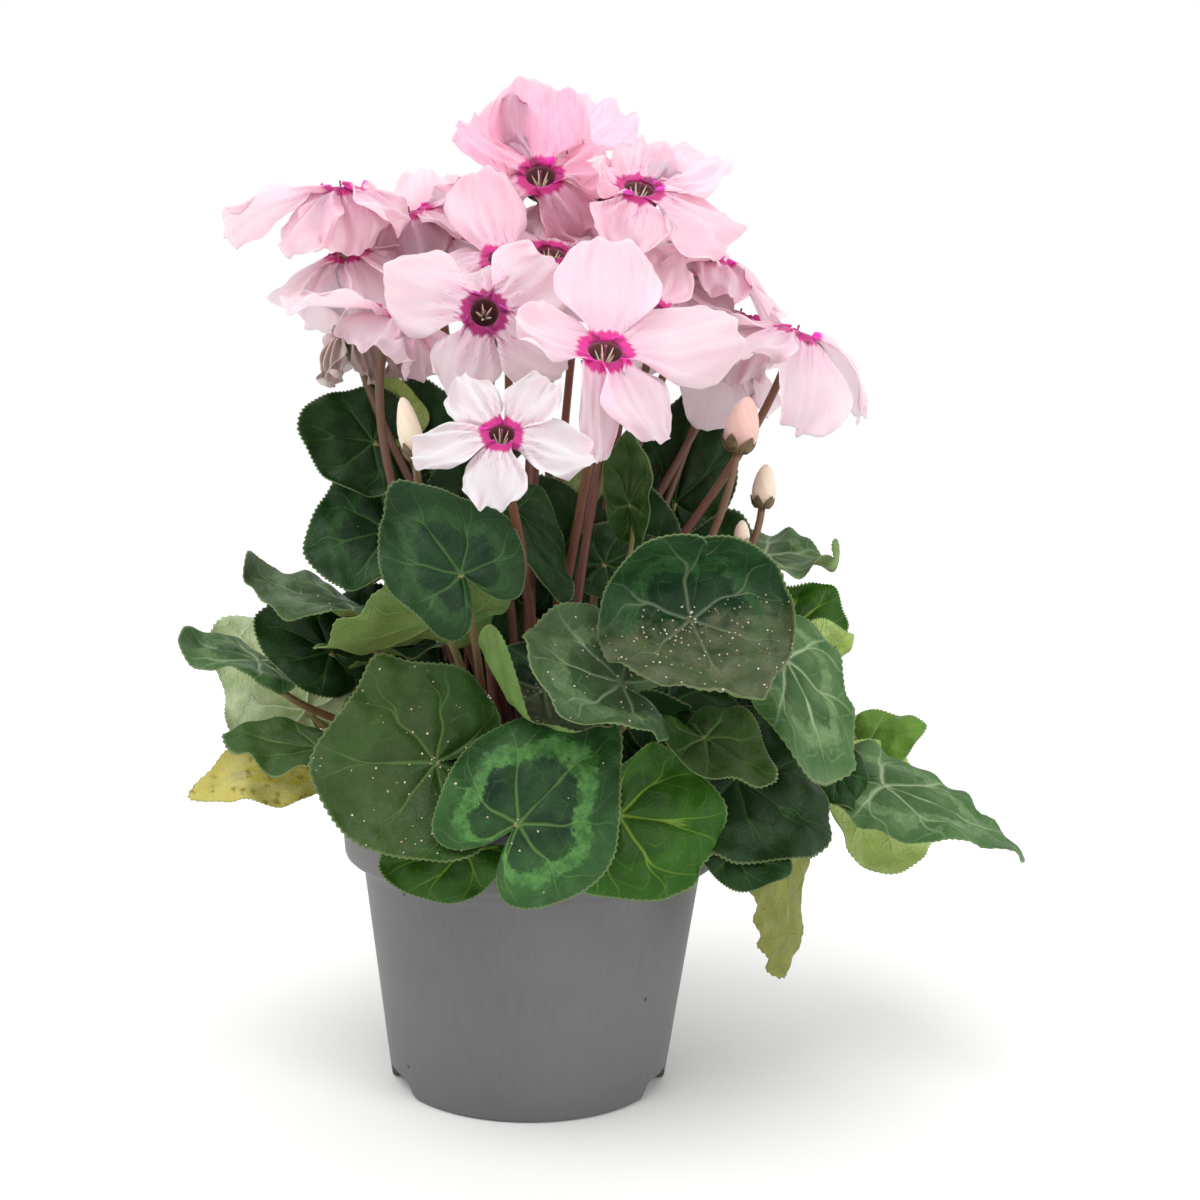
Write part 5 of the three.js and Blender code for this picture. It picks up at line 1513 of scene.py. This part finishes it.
# %% Silky petal
def petal_silk(name, pale, rose, eye, ray):
    """A petal's skin in a pale and a rose tint, with the colours of the eye and of its rays."""
    material = new_material(
        name, Roughness=0.55, Specular_IOR_Level=0.3, Sheen_Weight=0.25, Sheen_Roughness=0.5,
        Subsurface_Weight=0.7, Subsurface_Scale=0.006, Subsurface_Radius=(1.0, 0.7, 0.75)
    )
    add = partial(add_node, material)
    kept = add("Attribute", attribute_name="petal", out="Vector")
    across, reach, _ = add("SeparateXYZ", {0: kept}, out=None)
    colouring = add("Attribute", attribute_name="tint", out="Vector")
    tint, seed, purple = add("SeparateXYZ", {0: colouring}, out=None)
    # Veins: fine lines that follow the petal, drawn out 12 times along it.
    shifted = add("Math", {0: seed, 1: across}, operation="ADD")
    along = add("Math", {0: reach, 1: 0.08}, operation="MULTIPLY")
    lined = add("CombineXYZ", {0: shifted, 1: along, 2: seed})
    vein = add("TexNoise", {"Vector": lined, "Scale": 1.5, "Detail": 3.0, "Roughness": 0.6})
    broad = add("TexNoise", {"Vector": lined, "Scale": 0.5})
    # The tint is uneven in broad streaks, and deepens within 14 mm of the mouth.
    deep = add("MapRange", {"Value": reach, "From Min": 14.0, "From Max": 4.0, "To Max": 0.35})
    base = add("Math", {0: broad, 1: 0.5, 2: tint}, operation="MULTIPLY_ADD")
    lowered = add("Math", {0: base, 1: 0.25}, operation="SUBTRACT")
    filled = add("Math", {0: lowered, 1: deep}, operation="ADD", use_clamp=True)
    ground = add("Mix", {0: filled, 6: linear(pale), 7: linear(rose)}, **COLOUR)
    # The veins show more on the rosier flowers.
    shown = add("MapRange", {"Value": tint, "From Min": 0.6, "To Min": 0.05, "To Max": 0.45})
    vein_line = add("MapRange", {"Value": vein, "From Min": 0.5, "From Max": 0.7, "To Max": shown})
    veined = add("Mix", {0: vein_line, 6: ground, 7: linear("#f46f9f")}, **COLOUR)
    # The rays: the highest of the vein lines, which fade out by 13 mm from the mouth.
    ray_line = add("MapRange", {"Value": vein, "From Min": 0.56, "From Max": 0.63})
    ray_end = add("MapRange", {"Value": reach, "From Min": 13.0, "From Max": 3.0})
    drawn = add("Math", {0: ray_line, 1: ray_end}, operation="MULTIPLY")
    strength = add("MapRange", {"Value": purple, "To Min": 0.3})
    ray_mask = add("Math", {0: drawn, 1: strength}, operation="MULTIPLY")
    rayed = add("Mix", {0: ray_mask, 6: veined, 7: linear(ray)}, **COLOUR)
    # The eye: its edge is scalloped by the broad streaks and torn by the veins.
    scalloped = add("Math", {0: broad, 1: -4.0, 2: reach}, operation="MULTIPLY_ADD")
    torn = add("Math", {0: vein, 1: -1.8, 2: scalloped}, operation="MULTIPLY_ADD")
    eye_mask = add("MapRange", {"Value": torn, "From Min": 1.0, "From Max": -0.5}, **SOFT)
    turned = add("Mix", {0: purple, 6: linear(eye), 7: linear("#96145c")}, **COLOUR)
    eyed = add("Mix", {0: eye_mask, 6: rayed, 7: turned}, **COLOUR)
    bump = add("Bump", {"Height": vein, "Strength": 0.35, "Distance": 0.0004})
    return finish_material(material, Base_Color=eyed, Normal=bump)


PETAL_SKIN = petal_silk("silky_pink_petal", "#ffe9f1", "#ffa7c7", "#e3107a", "#963a80")
WILTED_SKIN = petal_silk("dry_wilted_petal", "#b98f86", "#8c635c", "#7a4450", "#704a4c")

# %% [markdown]
# The parts in the heart of a flower are a few millimetres across, so two close tones are enough for
# each. Only the throat needs more: it is dark inside and magenta at its lip.

# %% Throat, calyx, anthers and style
def small_part(name, dark, light, span, roughness):
    """The finish of a small part: two close tones in a mottle whose clouds are span mm across."""
    material = new_material(name, Roughness=roughness, Subsurface_Weight=0.05)
    add = partial(add_node, material)
    spot = add("TexCoord", out="Object")
    noise = add("TexNoise", {"Vector": spot, "Scale": 1000 / span, "Detail": 3.0})
    tone = add("MapRange", {"Value": noise, "From Min": 0.35, "From Max": 0.65})
    colour = add("Mix", {0: tone, 6: linear(dark), 7: linear(light)}, **COLOUR)
    bump = add("Bump", {"Height": noise, "Strength": 0.3, "Distance": 0.0002})
    return finish_material(material, Base_Color=colour, Normal=bump)


def throat_skin(name, inside, lip):
    """The tube's skin: dark inside, magenta at the lip, by how far up the tube a point is."""
    material = new_material(name, Roughness=0.5)
    add = partial(add_node, material)
    kept = add("Attribute", attribute_name="petal", out="Vector")
    depth = add("SeparateXYZ", {0: kept}, out="Y")
    up = add("MapRange", {"Value": depth, "From Min": -1.6, "From Max": 0.4})
    spot = add("TexCoord", out="Object")
    noise = add("TexNoise", {"Vector": spot, "Scale": 900.0})
    torn = add("Math", {0: noise, 1: 0.8, 2: up}, operation="MULTIPLY_ADD")
    lip_mask = add("MapRange", {"Value": torn, "From Min": 0.8, "From Max": 1.1})
    colour = add("Mix", {0: lip_mask, 6: linear(inside), 7: linear(lip)}, **COLOUR)
    return finish_material(material, Base_Color=colour)


THROAT_SKIN = throat_skin("dark_red_throat", "#6e4048", "#a81464")
CALYX_SKIN = small_part("downy_brown_green_calyx", "#4b3a26", "#75603c", 1.5, 0.6)
ANTHER_SKIN = small_part("mealy_cream_anther", "#ead9b4", "#fff8e2", 0.8, 0.8)
STYLE_SKIN = small_part("glossy_wine_style", "#7a2b4a", "#a8527a", 1.0, 0.4)
FLOWER_SKINS = [PETAL_SKIN, THROAT_SKIN, CALYX_SKIN, ANTHER_SKIN, STYLE_SKIN, FLOWER_STALK]

# %% [markdown]
# ## Growing the flowers and buds
#
# Flowers and buds share the crown of the tuber, inside the ring of the leaf stalks. A flower is
# shaped in the axes of its own mouth, and then set in place.

# %% Growing the flowers
FLOWER_STALK_RADII = (1.55, 1.25)
TUBE_LENGTH = 8


def stalk_end(flower):
    """Where the stalk meets the flower: at the foot of the tube behind its mouth."""
    return np.array(flower["mouth"], float) - unit(flower["faces"]) * TUBE_LENGTH


def grow_flower(flower, root, cad_nodes):
    """One flower with its stalk, at the place that its row gives."""
    dice = random.Random(flower["name"])
    z = unit(flower["faces"])
    y = np.array([0, 0.3, 1.0])
    y = unit(y - z * np.dot(y, z))
    mouth_axes = np.stack([np.cross(y, z), y, z], axis=1)
    mouth = np.array(flower["mouth"], float)
    points = flower_points / MM
    petal_values = np.zeros_like(points)
    for number in range(len(flower["petals"])):
        mine = flower_parts == number
        points[mine], petal_values[mine] = shape_petal(flower, number, flower_points[mine], dice)
    heart = np.isin(flower_parts, HEART_PARTS)
    petal_values[heart, 1] = points[heart, 2]
    points[heart, :2] *= flower["eye"]
    for rank, number in enumerate(SEPAL_PARTS):
        mine = flower_parts == number
        points[mine] = shape_sepal(rank, flower_points[mine])
    points = mouth + points @ mouth_axes.T
    stem = flower_parts == STEM_PART
    straight = flower_points[stem]
    bow = np.array(flower["bow"], float)
    points[stem] = bent_stalk(straight, root, stalk_end(flower), z, bow, FLOWER_STALK_RADII)
    piece = copy_of(flat_flower, flower["name"] + "_flower")
    set_points(piece, points * MM)
    keep_values(piece, "petal", petal_values)
    keep_height(piece, stem, straight)
    keep_values(piece, "tint", (flower["tint"], dice.uniform(0, 50), flower["purple"]))
    for number, skin in enumerate(FLOWER_SKINS):
        piece.data.materials[number] = skin
    if flower["name"] == "wilted":
        piece.data.materials[SILK] = WILTED_SKIN
    return finish_piece(piece, flower["name"] + "_flower", cad_nodes)

# %% [markdown]
# Buds stand on the same crown, so the roots of all flowers and buds are laid out together, in two
# rings and in the order of their bearings.

# %% The plan of the buds, and the flowers
BUDS = [
    dict(name="left", at=(-35, -44, 190), tip=(-39, -44, 207), radius=3.5, bow=(-6, 3, 5)),
    dict(name="right", at=(67, -14, 179), tip=(68, -14, 192), radius=3.7),
    dict(name="small", at=(60, -22, 168), tip=(60, -22, 175), radius=2.4, bow=(0, 3, 0)),
    dict(name="pink", at=(57, -28, 195), tip=(60, -28, 211), radius=5.2, bow=(3, 3, 0)),
]
ends = [stalk_end(flower) for flower in FLOWERS] + [np.array(bud["at"], float) for bud in BUDS]
crown_roots = roots_on_tuber(ends, [12, 6.5])
for i, flower in enumerate(FLOWERS):
    grow_flower(flower, crown_roots[i], ["flower_" + flower["name"]])
print(len(FLOWERS), "flowers grown")

# %% [markdown]
# ## The flowers behind
#
# The flower mass is denser than the big flowers alone can make it: between them stand others, of
# which only a petal or two shows. They have no solid in the CAD.

# %% The flowers that fill the mass
EVEN_PETALS = [(0, 26, 20, -20, -45, 0), (72, 26, 20, -10, -35, 0), (144, 24, 19, 0, -20, 0),
               (216, 24, 19, 0, -20, 0), (288, 26, 20, -10, -35, 0)]
INNER_FLOWERS = [
    bloom("inner_left", (-61, 2, 254), (-0.15, -0.35, 0.93),
          petals=[(262, 24, 19, -20, -40, 0), (205, 24, 19, -40, -70, 0), (150, 22, 20, -40, -70, 0),
                  (95, 22, 18, -20, -50, 0), (20, 20, 18, 0, -20, 0)]),
    bloom("inner_upper_left", (-36, 12, 262), (-0.1, -0.7, 0.7), tint=0.45,
          petals=[(350, 24, 20, 10, 20, 0), (285, 23, 19, -10, -20, 0), (60, 22, 19, -5, -20, 0),
                  (130, 24, 19, -30, -50, 0), (215, 24, 19, -30, -50, 0)]),
    bloom("inner_centre", (2, -10, 254), (0.15, -0.5, 0.85),
          petals=[(300, 20, 17, 10, 10, 0), (15, 19, 18, 15, 25, 0), (75, 20, 17, -5, -20, 0),
                  (140, 20, 17, -35, -60, 0), (215, 20, 17, -35, -60, 0)]),
    bloom("inner_right", (36, -6, 248), (0.1, -0.55, 0.82),
          petals=[(340, 25, 20, 15, 25, 0), (45, 23, 19, 5, 10, 0), (105, 22, 18, -10, -35, 0),
                  (165, 22, 18, -35, -60, 0), (270, 20, 18, -10, -30, 0)]),
    bloom("inner_far_right", (56, 16, 230), (0.2, -0.4, 0.9),
          petals=[(350, 20, 18, 5, 10, 0), (60, 22, 19, -5, -20, 0), (120, 24, 20, -25, -55, 0),
                  (190, 26, 20, -40, -75, 0), (270, 24, 18, -15, -40, 0)]),
    bloom("inner_top", (14, 8, 274), (0.1, -0.6, 0.8), tint=0.75,
          petals=[(330, 22, 19, 10, 20, 0), (40, 22, 19, 10, 15, 0), (100, 20, 18, -15, -40, 0),
                  (160, 20, 18, -35, -60, 0), (265, 18, 17, -15, -40, 0)]),
    bloom("inner_back", (-14, 30, 262), (-0.1, 0.5, 0.85), tint=0.5, petals=EVEN_PETALS),
    bloom("inner_back_right", (34, 34, 254), (0.2, 0.5, 0.85), tint=0.5, petals=EVEN_PETALS),
]
inner_roots = roots_on_tuber([stalk_end(flower) for flower in INNER_FLOWERS], [9.3])
for i, flower in enumerate(INNER_FLOWERS):
    grow_flower(flower, inner_roots[i], [])
print(len(INNER_FLOWERS), "flowers behind")
bpy.data.objects.remove(flat_flower)

# %% [markdown]
# A bud is a spindle of five petals rolled round each other, so faint furrows wind up it from the
# calyx to the point. The spindle is lathed, then furrowed and twisted in proportion to its height.

# %% A bud with its calyx and stalk
BUD_SKIN = petal_silk("rolled_bud_petal", "#e6dcc4", "#d49c9c", "#c4b48c", "#cdb898")


def grow_bud(bud, root):
    """One bud with its calyx and stalk."""
    reach = np.array(bud["tip"], float) - np.array(bud["at"], float)
    length = np.linalg.norm(reach)
    radius = bud["radius"]
    shape = [(0, -0.5), (0.45, -0.2), (0.7, 0.08), (0.92, 0.2), (1, 0.32), (0.97, 0.46), (0.86, 0.62),
             (0.68, 0.78), (0.44, 0.91), (0.2, 0.98), (0, 1)]
    section = [(r * radius, h * length if h > 0 else h) for r, h in shape]
    spindle = slotted(lathe("spindle", section, 40), SILK)
    points = points_of(spindle) / MM
    bearing = np.arctan2(points[:, 1], points[:, 0])
    girth = np.hypot(points[:, 0], points[:, 1])
    twist = 2.1 * points[:, 2] / length
    furrow = 1 - 0.09 * np.abs(np.cos(2.5 * (bearing + twist))) ** 6
    points[:, 0] = girth * furrow * np.cos(bearing)
    points[:, 1] = girth * furrow * np.sin(bearing)
    set_points(spindle, points * MM)
    calyx = [slotted(copy_of(flat_sepal, "calyx"), SEPAL) for _ in range(5)]
    piece = joined(spindle, *calyx, slotted(copy_of(straight_stalk, "stem"), STEM))
    parts = parts_of(piece)
    points = points_of(piece) / MM
    values = np.zeros_like(points)
    body = parts == 0
    values[body, 0] = (bearing + twist) * radius
    values[body, 1] = 6 + points[body, 2]
    for rank in range(5):
        mine = parts == rank + 1
        t = points[mine, 0] * MM
        s = (points[mine, 1] * MM + 1) / 2
        side = np.sign(points[mine, 2])
        around = 2 * math.pi * rank / 5 + t * 0.6 * (1 - s**2)
        out = np.interp(s, [0, 0.3, 1], [0.5, 0.78, 0.97]) * radius + 0.25 + 0.15 * side
        points[mine] = np.stack(
            [out * np.sin(around), out * np.cos(around), -0.4 + s * length * 0.3], axis=1
        )
    upright = Vector((0, 0, 1)).rotation_difference(Vector(reach)).to_matrix()
    stem = parts == 6
    straight = points[stem] * MM
    points = np.array(bud["at"], float) + points @ np.array(upright).T
    bow = np.array(bud.get("bow", (0, 0, 0)), float)
    points[stem] = bent_stalk(straight, root, bud["at"], unit(reach), bow, (1.5, 1.1))
    set_points(piece, points * MM)
    keep_values(piece, "petal", values)
    keep_height(piece, stem, straight)
    keep_values(piece, "tint", (0.6 if bud["name"] == "pink" else 0.12, len(bud["name"]), 0))
    for number, skin in enumerate([BUD_SKIN] + FLOWER_SKINS[1:]):
        piece.data.materials[number] = skin
    return finish_piece(piece, bud["name"] + "_bud", ["bud_" + bud["name"]])

# %% [markdown]
# The sepals of a bud need less detail than a petal, so they start from a small grid of their own.
# Then the flat patterns and the stand-ins have done their work, and go.

# %% Growing the buds
take_up_nothing()
bpy.ops.mesh.primitive_grid_add(x_subdivisions=6, y_subdivisions=8, size=2)
flat_sepal = bpy.context.object
two_faced(flat_sepal)
for i, bud in enumerate(BUDS):
    grow_bud(bud, crown_roots[len(FLOWERS) + i])
print(len(BUDS), "buds grown")
for pattern in (flat_sepal, straight_stalk):
    bpy.data.objects.remove(pattern)
for stand_in in STAND_INS:
    bpy.data.materials.remove(stand_in)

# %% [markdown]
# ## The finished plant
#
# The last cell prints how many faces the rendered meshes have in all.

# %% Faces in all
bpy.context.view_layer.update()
faces = sum(len(o.data.polygons) for o in bpy.data.objects if o.type == "MESH" and not o.hide_render)
print("faces in all:", faces)
